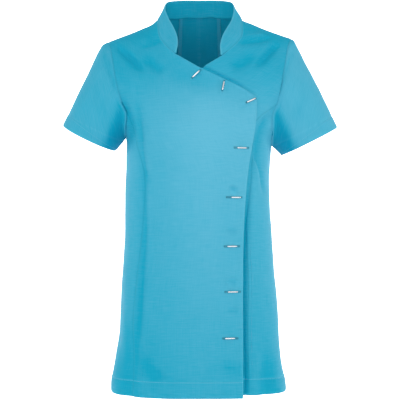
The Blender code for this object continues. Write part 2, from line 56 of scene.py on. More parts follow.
EDGE_ROWS = (0.0, 0.0006, 0.0014, 0.0028)
HEM_ROWS = (-0.0018, -0.0009, 0, 0.0009, 0.0018, 0.0032)
FOLD_ROWS = 8
ARM_ROWS = 40

# Heights and turns of the skin
CHEST = -0.210
RIDGE = 0.130
RIDGE_FADE = 0.05
BACK_ARCH = 1.9
STEP = 0.0005
TURN_FADE = 0.25
CURVE_SPOTS = 20
HANDS = {"right": -1, "left": 1}

# Slight waves of hanging cloth, each made of two factors, and how far along folds begin to fade
SLOW_SWAY, QUICK_SWAY = 0.0008, 0.0003
SWAY_WAVES = [((41, 17, 0.7), (-9, 23, 1.9)), ((88, -37, 2.3), (29, 61, 0.4))]
LARGE_FADE, CREASE_FADE = (0.3, 0.6), 0.65

# Hems, underarms and sizes that the rows of points are spaced by
SIDE_HEM = -0.727
BACK_HEM = -0.724
UNDERARM = {"right": -0.226, "left": -0.242}
HEM = 0.030
CUFF_HEM = 0.025
NECK_TURN = 7 / 13
BACK_SCOOP = 0.36
CENTRE_BACK_WIDTH = 0.115
SHOULDER_WIDTH = 0.100
SLOPE_WIDTH = 0.055
SLEEVE_LENGTH = 0.180
SLEEVE_HALF = 0.06
COLLAR_HEIGHT = 0.034

# Sewn and turned edges, with how wide their dips and puffs are, and how wide and strong the colour marks are:
# painted shade along seams, and a paler line along folds and hems that is partly rubbed wear and partly
# painted highlight
SEAM_DIP, SEAM_WIDTH = 0.0005, 0.0010
SEAM_PUFF, PUFF_PLACE, PUFF_WIDTH = 0.0002, 0.0050, 0.0034
EDGE_ROLL, ROLL_WIDTH = 0.0005, 0.0008
LAP_RISE, LAP_WIDTH = 0.0012, 0.016
HEM_DIP, HEM_DIP_WIDTH, HEM_PUFF, HEM_SWELL, HEM_PAST = 0.0005, 0.0012, 0.0005, 0.004, 0.001
HEM_LAYER, HEM_STEP = 0.0014, 0.0006
SEAM_SHADE_WIDTH, RUB_AND_HIGHLIGHT_WIDTH, RUBBED_AND_HIGHLIT, HEM_SHARPNESS = 0.0013, 0.0012, 0.5, 1.2
MITRE = (0.2, 0.7)
BORDER_FADE = 4

# Painted highlight and painted shade in the cloth's colour, by height (shoulders, bust, hip) and across
# (right, left, right side seam); painted shade deepens a crease by its depth and the left of the back, and a
# painted highlight marks the fold inside it
PAINTED_LIGHT_HEIGHTS = [(-0.020, -0.060), (-0.085, -0.200), (-0.50, -0.62)]
PAINTED_LIGHT_PLACES = [(0.03, -0.13), (0.01, 0.09), (-0.122, -0.138)]
SHOULDER_PAINTED_LIGHT, BUST_PAINTED_LIGHT = 0.35, 0.65
SKIRT_TOP, SKIRT_PAINTED_SHADE, HIP_PAINTED_SHADE = -0.22, 1.2, 0.10
RIGHT_PAINTED_SHADE, LEFT_PAINTED_SHADE, SIDE_SEAM_PAINTED_SHADE = 0.50, 0.10, 0.09
CREASE_SHADE_DEPTH = 0.016
BACK_PAINTED_SHADE, BACK_PAINTED_SHADE_PLACE = 0.32, (0.04, 0.15)
FOLD_HIGHLIGHT, FOLD_HIGHLIGHT_WIDTH = 0.10, 0.0045

# Sleeves and collar
SLEEVE_FALL = (0.44, -0.9)
SWAY_ACROSS, SWAY_START, SWAY_DOWN, SWAY_FADE = 1.3, 0.2, 1.4, 0.02
# Painted highlight on the sleeves fades out between these heights, so their tops are painted deeper, as shade
SLEEVE_LIGHT_FADE = (-0.01, -0.06)
SEAM_FOLLOW = 2.5
# The sleeve's colour marks: painted shade along its seam, and at the cuff's hem a paler line, partly rubbed
# wear and partly painted highlight
SLEEVE_MARKS = dict(seam=0.0016, hem=0.0010, rubbed_and_highlit=0.3)
BACK_CREASE_SHARE, BACK_CREASE_DROP = 0.8, 0.008
COLLAR_PUFF, COLLAR_WAVE, COLLAR_WAVES = 0.0012, 0.0005, 95
# The collar's colour marks: painted shade along its seam, and along its top edge a paler line, partly rubbed
# wear and partly painted highlight; then how much painted highlight the whole collar takes
COLLAR_MARKS = dict(seam=0.0020, edge=0.0022, pressed=1.5, rubbed_and_highlit=0.6)
COLLAR_PAINTED_LIGHT = 0.37

# Threads
STITCH, STITCH_PITCH, THREAD = 0.0026, 0.0034, 0.00028
OVERLOCK, OVERLOCK_PITCH, OVERLOCK_THREAD = 0.0028, 0.0030, 0.00024
HOLE_THREAD, HOLE_PITCH = 0.00022, 0.0008
KNOT_PAST, KNOT_TURN = 0.0022, 0.8
STITCH_PLACES = np.array([-0.5, -0.36, 0, 0.36, 0.5])
STITCH_RISES = np.array([-1.6, 0.1, 0.5, 0.1, -1.6])
STITCH_SIZES = (0.6, 1, 1, 1, 0.6)
ALLOWANCE, ALLOWANCE_WALL, ALLOWANCE_GAP = 0.0068, 0.0011, 0.0004
# The last value is the share of painted highlight that the seam allowances' colour takes, which makes them
# lighter strips
ALLOWANCE_WAVE, ALLOWANCE_WAVES, ALLOWANCE_PAINTED_LIGHT = 0.0004, 0.9, 0.30
ALLOWANCE_STEPS = np.array([0.0, 0.25, 0.5, 0.75, 1.0])
ALLOWANCE_WAVING = np.array([0, 0, 0.3, 0.7, 1.0])
ALLOWANCE_START, ALLOWANCE_SIDE = 14, 12
OVERLOCK_PAST = 0.0002
ROD_GUIDE = np.array([0.31, 0.87, 0.38])

# Bar buttons, whose tips and turned neck are (place, size) as shares of the half length and the radius
BUTTON_LENGTH = 0.019
BUTTON_RADIUS = 0.0015
BUTTON_CLEAR = 0.0004
SEEK_ABOVE = 0.003
BAR_SPOTS, BAR_SIDES = 9, 20
BAR_TIP = [(1.0, 0.02), (0.994, 0.30), (0.975, 0.58), (0.94, 0.82), (0.90, 0.96)]
BAR_MIDDLE = [(-0.86, 1.0), (-0.5, 1.0), (0.0, 1.0), (0.5, 1.0), (0.735, 1.0), (0.750, 0.93)]
BAR_NECK = [(0.765, 0.66), (0.790, 0.62), (0.805, 0.80), (0.835, 0.98)]
SHANKS = (-0.28, 0.28)
SHANK_RADIUS, SHANK_DEPTH = 0.00045, 0.0012

# Dyes: the cloth's pale colour is its painted highlight, and its rubbed colour is partly wear and partly
# painted highlight
TURQUOISE = dict(deep=(0.002, 0.40, 0.60, 1.0), pale=(0.125, 0.53, 0.73, 1.0), rubbed_and_highlit=(0.20, 0.70, 0.88, 1.0))
HEM_THREAD = dict(deep=(0.06, 0.46, 0.64, 1.0), light=(0.13, 0.57, 0.75, 1.0))
# The buttonhole twist is dark: painted shade of the slits and under the bars
SHADED_HOLE_TWIST = dict(deep=(0.003, 0.18, 0.28, 1.0), light=(0.008, 0.27, 0.40, 1.0))
WEAVE_PITCH = 0.00062

# Studio
FLOOR = -1.40
COVE = [(2.6, 0.0), (3.4, 0.03), (4.0, 0.14), (4.5, 0.40), (4.8, 0.85), (4.9, 1.5), (4.9, 2.6)]
COVE_TURNS = 64
LAMPS = {
    "left_softbox": dict(place=(-0.80, -1.50, 0.0), aim=(0.0, 0.0, -0.24), size=(0.7, 0.7), power=1.0),
    "right_softbox": dict(place=(0.85, -1.45, 0.0), aim=(0.0, 0.0, -0.24), size=(0.7, 0.7), power=1.1),
    "high_softbox": dict(place=(0.08, -1.45, 0.90), aim=(0.0, 0.0, -0.20), size=(0.9, 0.35), power=2.4),
}
ROOM_LIGHT = 0.59
CAMERA_PLACE = (0.002, -2.1, -0.352)
CAMERA_LENS = 94.5


class Table:
    """Rows of numbers with named columns, read smoothly between the rows by the first column."""

    def __init__(self, columns, rows):
        self.names = columns.split()
        self.columns = dict(zip(self.names, np.array(rows, dtype=float).T))

    def at(self, column, key):
        keys = self.columns[self.names[0]]
        values = self.columns[column]
        slopes = np.gradient(values, keys)
        key = np.clip(key, keys[0], keys[-1])
        low = np.clip(np.searchsorted(keys, key) - 1, 0, len(keys) - 2)
        width = keys[low + 1] - keys[low]
        t = (key - keys[low]) / width
        start = values[low] * (1 + 2 * t) + slopes[low] * width * t
        end = values[low + 1] * (3 - 2 * t) - slopes[low + 1] * width * (1 - t)
        return start * (1 - t) ** 2 + end * t**2


def crease(width, depth, *path, far=None, onset=0.4):
    """A trough along (x, z) points, or a ridge where its depth is negative. Far is its other side's width."""
    return dict(path=path, width=width, depth=depth, far=far or width, onset=onset)


# Half widths to each side and depths of the skin, with the squareness of its section
SECTIONS = Table("height right left front back power", [
    (-0.732, 0.1735, 0.1725, 0.134, 0.131, 3.0),
    (-0.704, 0.173, 0.17, 0.1325, 0.1305, 3.0),
    (-0.682, 0.169, 0.166, 0.131, 0.13, 2.95),
    (-0.656, 0.1645, 0.162, 0.1295, 0.1295, 2.85),
    (-0.62, 0.159, 0.159, 0.127, 0.128, 2.75),
    (-0.558, 0.156, 0.156, 0.122, 0.124, 2.6),
    (-0.46, 0.1495, 0.1475, 0.1175, 0.112, 2.5),
    (-0.34, 0.146, 0.1405, 0.1205, 0.099, 2.45),
    (-0.272, 0.1445, 0.1415, 0.13, 0.105, 2.4),
    (-0.228, 0.1455, 0.147, 0.132, 0.111, 2.4),
    (-0.195, 0.156, 0.157, 0.1305, 0.115, 2.4),
    (-0.154, 0.175, 0.175, 0.128, 0.118, 2.4),
    (-0.095, 0.203, 0.203, 0.124, 0.12, 2.4),
    (0.0, 0.208, 0.208, 0.118, 0.121, 2.4),
    (0.13, 0.208, 0.208, 0.113, 0.12, 2.4),
])

# Line of the shoulder seams and, between the neck points, the arch that the skin would close with
SHOULDER = Table("x height", [
    (-0.23, -0.06), (-0.192, -0.0405), (-0.172, -0.033), (-0.139, -0.021), (-0.115, -0.011), (-0.09, 0.001),
    (-0.083, 0.007), (-0.06, 0.034), (-0.03, 0.06), (0.0, 0.067), (0.03, 0.06), (0.06, 0.036),
    (0.087, 0.008), (0.105, 0.0005), (0.125, -0.0085), (0.163, -0.023), (0.187, -0.0305), (0.23, -0.05),
])

# Squareness of the front's rise to the shoulder, by the distance from the centre
FRONT_ARCH = Table("reach power", [
    (0.0, 1.4), (0.06, 1.4), (0.1, 1.5), (0.14, 1.64), (0.18, 1.7), (0.23, 1.7),
])

# Seams and edges, as (x, z)
NECK_END = {"right": (-0.0454, -0.0720), "left": (0.0433, -0.0745)}
WRAP_CORNER = (0.1083, -0.1567)
UNDER_CORNER = (-0.030, -0.1230)
SHOULDER_TIP = {"right": -0.180, "left": 0.184}
ARMHOLE = {
    "right": [(-0.1505, -0.1645), (-0.156, -0.14), (-0.164, -0.105), (-0.17, -0.074), (-0.1755, -0.05)],
    "left": [(0.1511, -0.1681), (0.157, -0.14), (0.164, -0.102), (0.172, -0.064), (0.178, -0.041)],
}
BACK_ARMHOLE = {
    "right": [(-0.15, -0.164), (-0.1585, -0.12), (-0.167, -0.078), (-0.174, -0.052)],
    "left": [(0.1505, -0.168), (0.159, -0.12), (0.168, -0.074), (0.176, -0.046)],
}
PRINCESS = {
    "right": [
        (-0.1285, -0.7248), (-0.1272, -0.582), (-0.1184, -0.488), (-0.1074, -0.367), (-0.1062, -0.314),
        (-0.1237, -0.235), (-0.1505, -0.1645),
    ],
    "left": [
        (0.0938, -0.7195), (0.0928, -0.6), (0.0937, -0.5), (0.0929, -0.394), (0.0997, -0.329),
        (0.105, -0.26), (0.1085, -0.202), (0.1265, -0.1844), (0.1511, -0.1681),
    ],
}
WRAP_EDGE = [
    (0.0822, -0.7246), (0.0829, -0.447), (0.0845, -0.385), (0.0897, -0.314), (0.0988, -0.248),
    (0.105, -0.211), (0.108, -0.185), WRAP_CORNER,
]
WRAP_NECK = [WRAP_CORNER, (0.085, -0.1415), (0.0495, -0.1242), (0.003, -0.1013), NECK_END["right"]]
UNDER_EDGE = [(-0.030, -0.7195), UNDER_CORNER]
UNDER_NECK = [UNDER_CORNER, (0.003, -0.101), NECK_END["left"]]
BACK_SEAM = {
    "right": [(-0.075, BACK_HEM), (-0.07, -0.56), (-0.056, -0.37), (-0.049, -0.262)],
    "left": [(0.075, BACK_HEM), (0.07, -0.56), (0.057, -0.37), (0.0505, -0.262)],
}
BACK_SEAM_TOP = {
    "right": [(-0.049, -0.262), (-0.0425, -0.15), (-0.0375, -0.05), (-0.035, 0.0215)],
    "left": [(0.0505, -0.262), (0.0445, -0.15), (0.04, -0.05), (0.0377, 0.0216)],
}

# The collar's seam on the neckline (x, z, on the back or not) and the free edge above each point
COLLAR = [
    ((-0.0454, -0.072, False), (-0.045, -0.085, -0.0686)),
    ((-0.0575, -0.06, False), (-0.0412, -0.0725, -0.052)),
    ((-0.0669, -0.0493, False), (-0.0415, -0.063, -0.039)),
    ((-0.0792, -0.0252, False), (-0.049, -0.041, -0.0145)),
    ((-0.0818, -0.004, False), (-0.06, -0.02, 0.008)),
    ((-0.083, 0.007, False), (-0.0685, 0.002, 0.032)),
    ((-0.07, 0.0155, True), (-0.0655, 0.024, 0.0475)),
    ((-0.05, 0.0195, True), (-0.05, 0.041, 0.0537)),
    ((-0.035, 0.0215, True), (-0.035, 0.048, 0.056)),
    ((0.0, 0.0225, True), (0.0, 0.053, 0.057)),
    ((0.0377, 0.0216, True), (0.0365, 0.048, 0.056)),
    ((0.052, 0.02, True), (0.051, 0.0415, 0.054)),
    ((0.072, 0.016, True), (0.067, 0.025, 0.0475)),
    ((0.087, 0.008, False), (0.0705, 0.002, 0.032)),
    ((0.0868, -0.006, False), (0.064, -0.02, 0.004)),
    ((0.0857, -0.0252, False), (0.053, -0.0395, -0.016)),
    ((0.0744, -0.0456, False), (0.044, -0.06, -0.0375)),
    ((0.06, -0.0605, False), (0.0408, -0.0735, -0.056)),
    ((0.0433, -0.0745, False), (0.0432, -0.085, -0.0724)),
]
COLLAR_KNOTS = {"right": 0, "right_point": 5, "right_seam": 8, "left_seam": 10, "left_point": 13, "left": 18}

# Top and under lines of the sleeves, with half their depth, how far the front dips and the back rises
SLEEVE_COLUMNS = "along top_x top_z under_x under_z depth dip rise"
SLEEVES = {
    "right": Table(SLEEVE_COLUMNS, [
        (0.0, -0.18, -0.0362, -0.1464, -0.226, 0.066, 0.0, 0.0),
        (0.07, -0.1925, -0.042, -0.1479, -0.2279, 0.0665, 0.0, 0.0),
        (0.13, -0.1975, -0.05, -0.149, -0.2294, 0.067, 0.0005, 0.0005),
        (0.3, -0.211, -0.078, -0.1525, -0.234, 0.0665, 0.0015, 0.0015),
        (0.5, -0.227, -0.112, -0.1566, -0.2392, 0.0645, 0.003, 0.003),
        (0.75, -0.2475, -0.157, -0.1618, -0.246, 0.061, 0.005, 0.006),
        (1.0, -0.27, -0.202, -0.167, -0.2526, 0.058, 0.0075, 0.009),
    ]),
    "left": Table(SLEEVE_COLUMNS, [
        (0.0, 0.184, -0.0293, 0.147, -0.242, 0.066, 0.0, 0.0),
        (0.07, 0.1905, -0.0345, 0.1484, -0.2434, 0.0665, 0.0, 0.0),
        (0.13, 0.1975, -0.048, 0.1495, -0.2445, 0.067, 0.0002, 0.0005),
        (0.3, 0.2115, -0.076, 0.1529, -0.2479, 0.0665, 0.0006, 0.0015),
        (0.5, 0.23, -0.1125, 0.1568, -0.2518, 0.0645, 0.0012, 0.0035),
        (0.75, 0.2535, -0.162, 0.1617, -0.2567, 0.061, 0.002, 0.007),
        (1.0, 0.2748, -0.2072, 0.1666, -0.2616, 0.058, 0.0028, 0.011),
    ]),
}
SLEEVE_POWER = 2.2

# Bar buttons from the neck down: their middles, their slant in degrees and the ends of their buttonholes
BUTTONS = [
    dict(x=-0.0058, z=-0.1142, slant=43, hole=(-0.0098, 0.0125)),
    dict(x=0.0455, z=-0.1366, slant=79, hole=(-0.0098, 0.0105)),
    dict(x=0.0974, z=-0.1639, slant=27, hole=(-0.0098, 0.0105)),
    dict(x=0.0789, z=-0.2532, slant=0, hole=(-0.0136, 0.0131)),
    dict(x=0.0685, z=-0.3467, slant=0, hole=(-0.0174, 0.0113)),
    dict(x=0.0619, z=-0.4397, slant=0, hole=(-0.0145, 0.0141)),
    dict(x=0.0628, z=-0.5257, slant=0, hole=(-0.0145, 0.0142)),
    dict(x=0.0577, z=-0.6125, slant=0, hole=(-0.0133, 0.0149)),
]

# Creases: width, depth and path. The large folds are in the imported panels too
LARGE_FOLDS = [
    crease(0.009, 0.0034, (-0.165, -0.045), (-0.104, -0.112)),
    crease(0.009, 0.0032, (0.158, -0.041), (0.108, -0.102)),
    crease(0.012, 0.0038, (-0.152, -0.6), (-0.146, -0.76)),
    crease(0.013, 0.0034, (0.15, -0.64), (0.146, -0.78)),
]
FRONT_CREASES = [
    crease(0.006, 0.004, (-0.172, -0.04), (-0.14, -0.07), (-0.124, -0.084), (-0.1, -0.112)),
    crease(0.006, 0.004, (0.17, -0.036), (0.146, -0.056), (0.12, -0.084), (0.102, -0.104)),
    crease(0.0045, 0.0032, (-0.125, -0.06), (-0.092, -0.046), (-0.06, -0.043)),
    crease(0.005, 0.0044, (0.066, -0.047), (0.09, -0.044), (0.124, -0.038), (0.152, -0.03)),
    crease(0.006, -0.0024, (0.08, -0.034), (0.1, -0.03), (0.136, -0.024)),
    crease(0.011, 0.0036, (-0.112, -0.07), (-0.085, -0.094), (-0.06, -0.112)),
    crease(0.011, 0.0036, (0.118, -0.064), (0.083, -0.088), (0.054, -0.103)),
    crease(0.011, 0.0058, (-0.16, -0.14), (-0.14, -0.186), (-0.133, -0.206), (-0.13, -0.262)),
    crease(0.008, -0.001, (-0.141, -0.225), (-0.132, -0.275), (-0.13, -0.38)),
    crease(0.006, 0.0018, (-0.109, -0.282), (-0.09, -0.33)),
    crease(
        0.0085, 0.0046, (-0.12, -0.12), (-0.113, -0.225), (-0.105, -0.3), (-0.104, -0.41), (-0.112, -0.56),
        (-0.124, -0.76), far=0.006, onset=0.2,
    ),
    crease(0.01, 0.008, (-0.1385, -0.57), (-0.135, -0.64), (-0.1345, -0.78)),
    crease(0.008, 0.004, (-0.1215, -0.59), (-0.121, -0.65), (-0.1215, -0.74)),
    crease(0.013, 0.0038, (-0.116, -0.64), (-0.0975, -0.668), (-0.064, -0.7)),
    crease(0.006, 0.0016, (-0.09, -0.664), (-0.069, -0.684), (-0.036, -0.702)),
    crease(0.012, 0.0028, (0.03, -0.66), (0.063, -0.668), (0.09, -0.676)),
    crease(0.0046, 0.0042, (0.054, -0.327), (0.065, -0.331), (0.076, -0.335)),
    crease(0.005, 0.0024, (0.05, -0.406), (0.063, -0.409), (0.076, -0.412)),
    crease(0.005, 0.0026, (0.05, -0.504), (0.063, -0.507), (0.076, -0.51)),
    crease(0.005, 0.0026, (0.05, -0.558), (0.065, -0.5615), (0.078, -0.565)),
    crease(0.018, 0.0024, (-0.07, -0.112), (0.0, -0.124), (0.056, -0.146)),
    crease(0.014, 0.0018, (-0.116, -0.15), (-0.11, -0.215), (-0.106, -0.26)),
    crease(0.009, 0.003, (-0.158, -0.245), (-0.158, -0.42), (-0.158, -0.76)),
]
# The under front sinks beside the wrap's edges and creases down from the armpit
UNDER_CREASES = [
    crease(
        0.0048, 0.0078, (0.114, -0.12), (0.1135, -0.18), (0.102, -0.257), (0.094, -0.352), (0.0885, -0.447),
        (0.087, -0.56), (0.0875, -0.72), (0.088, -1.0),
    ),
    crease(
        0.0026, 0.0044, (-0.06, -0.085), (0.005, -0.096), (0.052, -0.118), (0.09, -0.138), (0.118, -0.156),
    ),
    crease(0.008, 0.0066, (0.155, -0.16), (0.1206, -0.214), (0.1128, -0.241), (0.107, -0.31)),
    crease(0.007, -0.003, (0.128, -0.165), (0.1345, -0.19), (0.14, -0.225)),
    crease(0.005, -0.0044, (0.129, -0.228), (0.13, -0.26), (0.129, -0.3)),
    crease(0.003, -0.0026, (0.0985, -0.245), (0.1091, -0.287), (0.121, -0.345)),
    crease(0.004, 0.0036, (0.109, -0.262), (0.119, -0.3), (0.126, -0.35)),
    crease(0.0125, 0.0066, (0.134, -0.625), (0.129, -0.68), (0.127, -0.79)),
    crease(0.008, -0.0016, (0.152, -0.64), (0.151, -0.69), (0.15, -0.74)),
    crease(0.008, -0.0012, (0.112, -0.6), (0.109, -0.69), (0.108, -0.79)),
]
# Small puckers that the top three bars pull into the wrap
WRAP_CREASES = [
    crease(0.0026, 0.001, (-0.02, -0.126), (-0.006, -0.119), (0.006, -0.104)),
    crease(0.0034, 0.0012, (0.006, -0.12), (-0.004, -0.13), (-0.018, -0.138)),
    crease(0.003, 0.0012, (0.036, -0.16), (0.0415, -0.142), (0.044, -0.124)),
    crease(0.003, 0.001, (0.054, -0.156), (0.05, -0.142), (0.05, -0.128)),
    crease(0.0034, 0.0013, (0.074, -0.184), (0.088, -0.173), (0.102, -0.168)),
    crease(0.003, 0.001, (0.07, -0.168), (0.086, -0.16), (0.1, -0.154)),
]
BACK_CREASES = [
    crease(0.009, 0.0045, (-0.176, -0.08), (-0.148, -0.128), (-0.112, -0.158)),
    crease(0.009, 0.0042, (0.178, -0.07), (0.15, -0.12), (0.116, -0.15)),
    crease(0.008, 0.0039, (-0.15, -0.205), (-0.118, -0.245), (-0.076, -0.262)),
    crease(0.008, 0.0036, (0.148, -0.215), (0.12, -0.258), (0.082, -0.28)),
    crease(0.009, 0.0036, (-0.132, -0.3), (-0.09, -0.332), (-0.036, -0.34)),
    crease(0.009, 0.0033, (0.128, -0.318), (0.088, -0.346), (0.03, -0.352)),
    crease(0.008, 0.003, (-0.12, -0.386), (-0.07, -0.402), (-0.01, -0.394)),
    crease(0.008, 0.0027, (0.118, -0.4), (0.066, -0.42), (0.018, -0.414)),
    crease(0.011, 0.0051, (-0.118, -0.56), (-0.124, -0.66), (-0.126, -0.78)),
    crease(0.011, 0.0048, (0.112, -0.59), (0.118, -0.68), (0.12, -0.78)),
    crease(0.013, 0.0033, (0.02, -0.64), (0.024, -0.7), (0.026, -0.79)),
]
SLEEVE_CREASES = {
    "right": [
        crease(
            0.0045, 0.003, (-0.193, -0.044), (-0.1851, -0.0704), (-0.1799, -0.0899), (-0.1686, -0.1155),
            (-0.156, -0.158), far=0.0075,
        ),
        crease(0.01, 0.0016, (-0.208, -0.12), (-0.19, -0.16), (-0.178, -0.206)),
    ],
    "left": [
        crease(
            0.0075, 0.003, (0.19, -0.04), (0.1843, -0.0597), (0.1724, -0.0924), (0.1584, -0.1333),
            (0.153, -0.168), far=0.0045,
        ),
        crease(0.01, 0.0016, (0.214, -0.126), (0.196, -0.164), (0.184, -0.208)),
    ],
}
# Where the front of each sleeve turns under: a line from the armpit to the cuff, as (x, z)
TUCK = {"right": [(-0.152, -0.156), (-0.190, -0.250)], "left": [(0.154, -0.172), (0.187, -0.244)]}
TUCK_DEPTH = {"right": 0.012, "left": 0.013}
# The tuck's width and growth, and where painted shade deepens the tucked-under front of the sleeve: past the
# tuck line and away from the seam
TUCK_WIDTH, TUCK_GROWTH, UNDERARM_SHADE_PAST_TUCK, UNDERARM_SHADE_FROM_SEAM = 0.026, 0.16, (-0.012, 0.010), (0.0005, 0.0090)
# How much painted highlight each sleeve takes
SLEEVE_PAINTED_LIGHT = {"right": 0.40, "left": 0.62}

# How the edges of panels are finished, and what sets the two fronts apart, with the share of painted
# highlight each takes: the under front's smaller share paints it deeper, as shade
ALL_SEWN = dict(left="sewn", right="sewn", bottom="hem", top="sewn")
FRONTS = {
    "right": dict(
        edge=WRAP_EDGE, neck=WRAP_NECK, collar=("right", "right_point"), centre_width=0.26, side_width=0.075,
        edges=dict(left="sewn", right="lapped", bottom="hem", top="sewn"), lift=WRAP_LIFT,
        centre_creases=WRAP_CREASES, side_creases=(), taut=1.0,
    ),
    "left": dict(
        edge=UNDER_EDGE, neck=UNDER_NECK, collar=("left_point", "left"), centre_width=0.17, side_width=0.095,
        edges=dict(right="sewn", left="turned", bottom="hem", top="sewn"), lift=0.0,
        centre_creases=UNDER_CREASES, side_creases=UNDER_CREASES, taut=0.68,
    ),
}


# ---------------------------------------------------------------- the skin


def smoothstep(low, high, value):
    t = np.clip((value - low) / (high - low), 0, 1)
    return t * t * (3 - 2 * t)


def bell(distance, width):
    """One on a line, fading to nothing at about twice the width from it."""
    return np.exp(-((distance / width) ** 2))


def unit(vectors):
    return vectors / np.linalg.norm(vectors, axis=-1, keepdims=True)


def reach_along(points):
    """The distance along a line of points, at each of them."""
    return np.concatenate([[0], np.cumsum(np.linalg.norm(np.diff(points, axis=0), axis=1))])


def squircle(angle, power):
    """The across and along parts of a point on a rounded square of half width one."""
    across = np.sin(angle)
    along = np.cos(angle)
    reach = (np.abs(across) ** power + np.abs(along) ** power) ** (-1 / power)
    return across * reach, along * reach


def straight_troughs(x, z):
    """How far the large folds take a point of the front inwards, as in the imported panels."""
    depth = 0
    for fold in LARGE_FOLDS:
        start, end = (np.array(point) for point in fold["path"])
        run = end - start
        along = ((x - start[0]) * run[0] + (z - start[1]) * run[1]) / (run @ run)
        off = ((x - start[0]) * run[1] - (z - start[1]) * run[0]) / np.linalg.norm(run)
        fade = smoothstep(0, LARGE_FADE[0], along) * smoothstep(1, LARGE_FADE[1], along)
        depth = depth + fold["depth"] * fade * bell(off, fold["width"])
    return depth


def crease_depth(x, z, creases):
    """How far a list of creases takes points at x and z inwards."""
    total = np.zeros(x.shape)
    for fold in creases:
        path = np.array(fold["path"])
        runs = np.diff(path, axis=0)
        lengths = np.linalg.norm(runs, axis=1)
        nearest = np.full(x.shape, np.inf)
        reach, side = np.zeros(x.shape), np.zeros(x.shape)
        before = 0.0
        for start, run, length in zip(path, runs / lengths[:, None], lengths):
            along = np.clip((x - start[0]) * run[0] + (z - start[1]) * run[1], 0, length)
            off_x = x - start[0] - along * run[0]
            off_z = z - start[1] - along * run[1]
            away = np.hypot(off_x, off_z)
            closer = away < nearest
            nearest = np.where(closer, away, nearest)
            reach = np.where(closer, before + along, reach)
            side = np.where(closer, off_x * run[1] - off_z * run[0], side)
            before += length
        share = reach / before
        fade = smoothstep(0, fold["onset"], share) * smoothstep(1, CREASE_FADE, share)
        total += fold["depth"] * fade * bell(nearest, np.where(side > 0, fold["width"], fold["far"]))
    return total


def sway(x, z):
    """The slight unevenness of cloth that hangs smooth."""
    slow, quick = (
        np.sin(a * x + b * z + c) * np.sin(d * x + e * z + f) for (a, b, c), (d, e, f) in SWAY_WAVES
    )
    return SLOW_SWAY * slow + QUICK_SWAY * quick


def half_width(side, level):
    return np.where(side < 0, SECTIONS.at("right", level), SECTIONS.at("left", level))


def bare_skin(angle, height):
    """A point of the smooth skin."""
    behind = (height > RIDGE) != (np.cos(angle) < 0)
    level = np.where(height > RIDGE, 2 * RIDGE - height, height)
    across, along = squircle(angle, SECTIONS.at("power", level))
    x = across * half_width(across, level)
    arch = np.where(behind, BACK_ARCH, FRONT_ARCH.at("power", np.abs(x)))
    rise, fall = squircle((level - CHEST) / (RIDGE - CHEST) * math.pi / 2, arch)
    above = level > CHEST
    z = np.where(above, CHEST + (SHOULDER.at("height", x) - CHEST) * rise, level)
    depth = np.where(behind, SECTIONS.at("back", level), -SECTIONS.at("front", level))
    y = depth * np.abs(along) * np.where(above, fall, 1)
    return np.stack([x, y, z], axis=-1)


def skin_normals(angle, height):
    across = bare_skin(angle + STEP, height) - bare_skin(angle - STEP, height)
    up = bare_skin(angle, height + STEP) - bare_skin(angle, height - STEP)
    return unit(np.cross(across, up))


def sunk(angle, height, creases=()):
    """How far the creases take the cloth in."""
    point = bare_skin(angle, height)
    x, z = point[..., 0], point[..., 2]
    front = smoothstep(RIDGE, RIDGE - RIDGE_FADE, height)
    back = smoothstep(RIDGE, RIDGE + RIDGE_FADE, height)
    facing = smoothstep(0.0, TURN_FADE, np.abs(np.cos(angle)))
    before = straight_troughs(x, z) + crease_depth(x, z, FRONT_CREASES + list(creases))
    return facing * (front * before + back * crease_depth(x, z, BACK_CREASES))


def skin(angle, height, lift=0.0, creases=()):
    """A point of the worn cloth's outer face, lifted where it overlaps the under panel, with its creases."""
    point = bare_skin(angle, height)
    x, z = point[..., 0], point[..., 2]
    out = lift * smoothstep(*WRAP_RISE, x) + sway(x, z) - sunk(angle, height, creases)
    return point + skin_normals(angle, height) * out[..., None]


def tautness(x, z, depth, share):
    """How much painted highlight the cloth's colour takes, from 0 in creases and on the shoulders, where it
    is painted shade, to 1 over the bust.
    """
    shoulder, bust, hip = (smoothstep(*heights, z) for heights in PAINTED_LIGHT_HEIGHTS)
    to_right, to_left, side_seam = (smoothstep(*places, x) for places in PAINTED_LIGHT_PLACES)
    skirt = np.clip(SKIRT_TOP - z, 0, None)
    rise = SHOULDER_PAINTED_LIGHT * shoulder + BUST_PAINTED_LIGHT * bust
    fall = 1 - SKIRT_PAINTED_SHADE * skirt - HIP_PAINTED_SHADE * hip
    across = 1 - RIGHT_PAINTED_SHADE * to_right - LEFT_PAINTED_SHADE * to_left - SIDE_SEAM_PAINTED_SHADE * side_seam
    return np.clip(share * rise * fall * across - depth / CREASE_SHADE_DEPTH, 0, 1)


def locate(x, z, back=False):
    """The angle and height of the skin's point at x and z, on the front or the back."""
    t = np.clip((z - CHEST) / (SHOULDER.at("height", x) - CHEST), 0, 1)
    power = BACK_ARCH if back else FRONT_ARCH.at("power", np.abs(x))
    rise = np.arctan2(t, (1 - t**power) ** (1 / power))
    level = np.where(z < CHEST, z, CHEST + rise / (math.pi / 2) * (RIDGE - CHEST))
    across = np.clip(np.abs(x) / half_width(x, level), 0, 1)
    power = SECTIONS.at("power", level)
    angle = np.arctan2(across, (1 - across**power) ** (1 / power)) * np.sign(x)
    return np.stack([angle, np.where(back, 2 * RIDGE - level, level)], axis=-1)


# ---------------------------------------------------------------- edges and grids


def smooth_curve(knots, places):
    """Points of a smooth curve through the knots at places counted in knots."""
    knots = np.array(knots, dtype=float)
    reach = reach_along(knots)
    keys = np.interp(places, range(len(knots)), reach)
    names = ["reach"] + ["part%d" % part for part in range(knots.shape[1])]
    table = Table(" ".join(names), np.column_stack([reach, knots]))
    return np.stack([table.at(name, keys) for name in names[1:]], axis=-1)


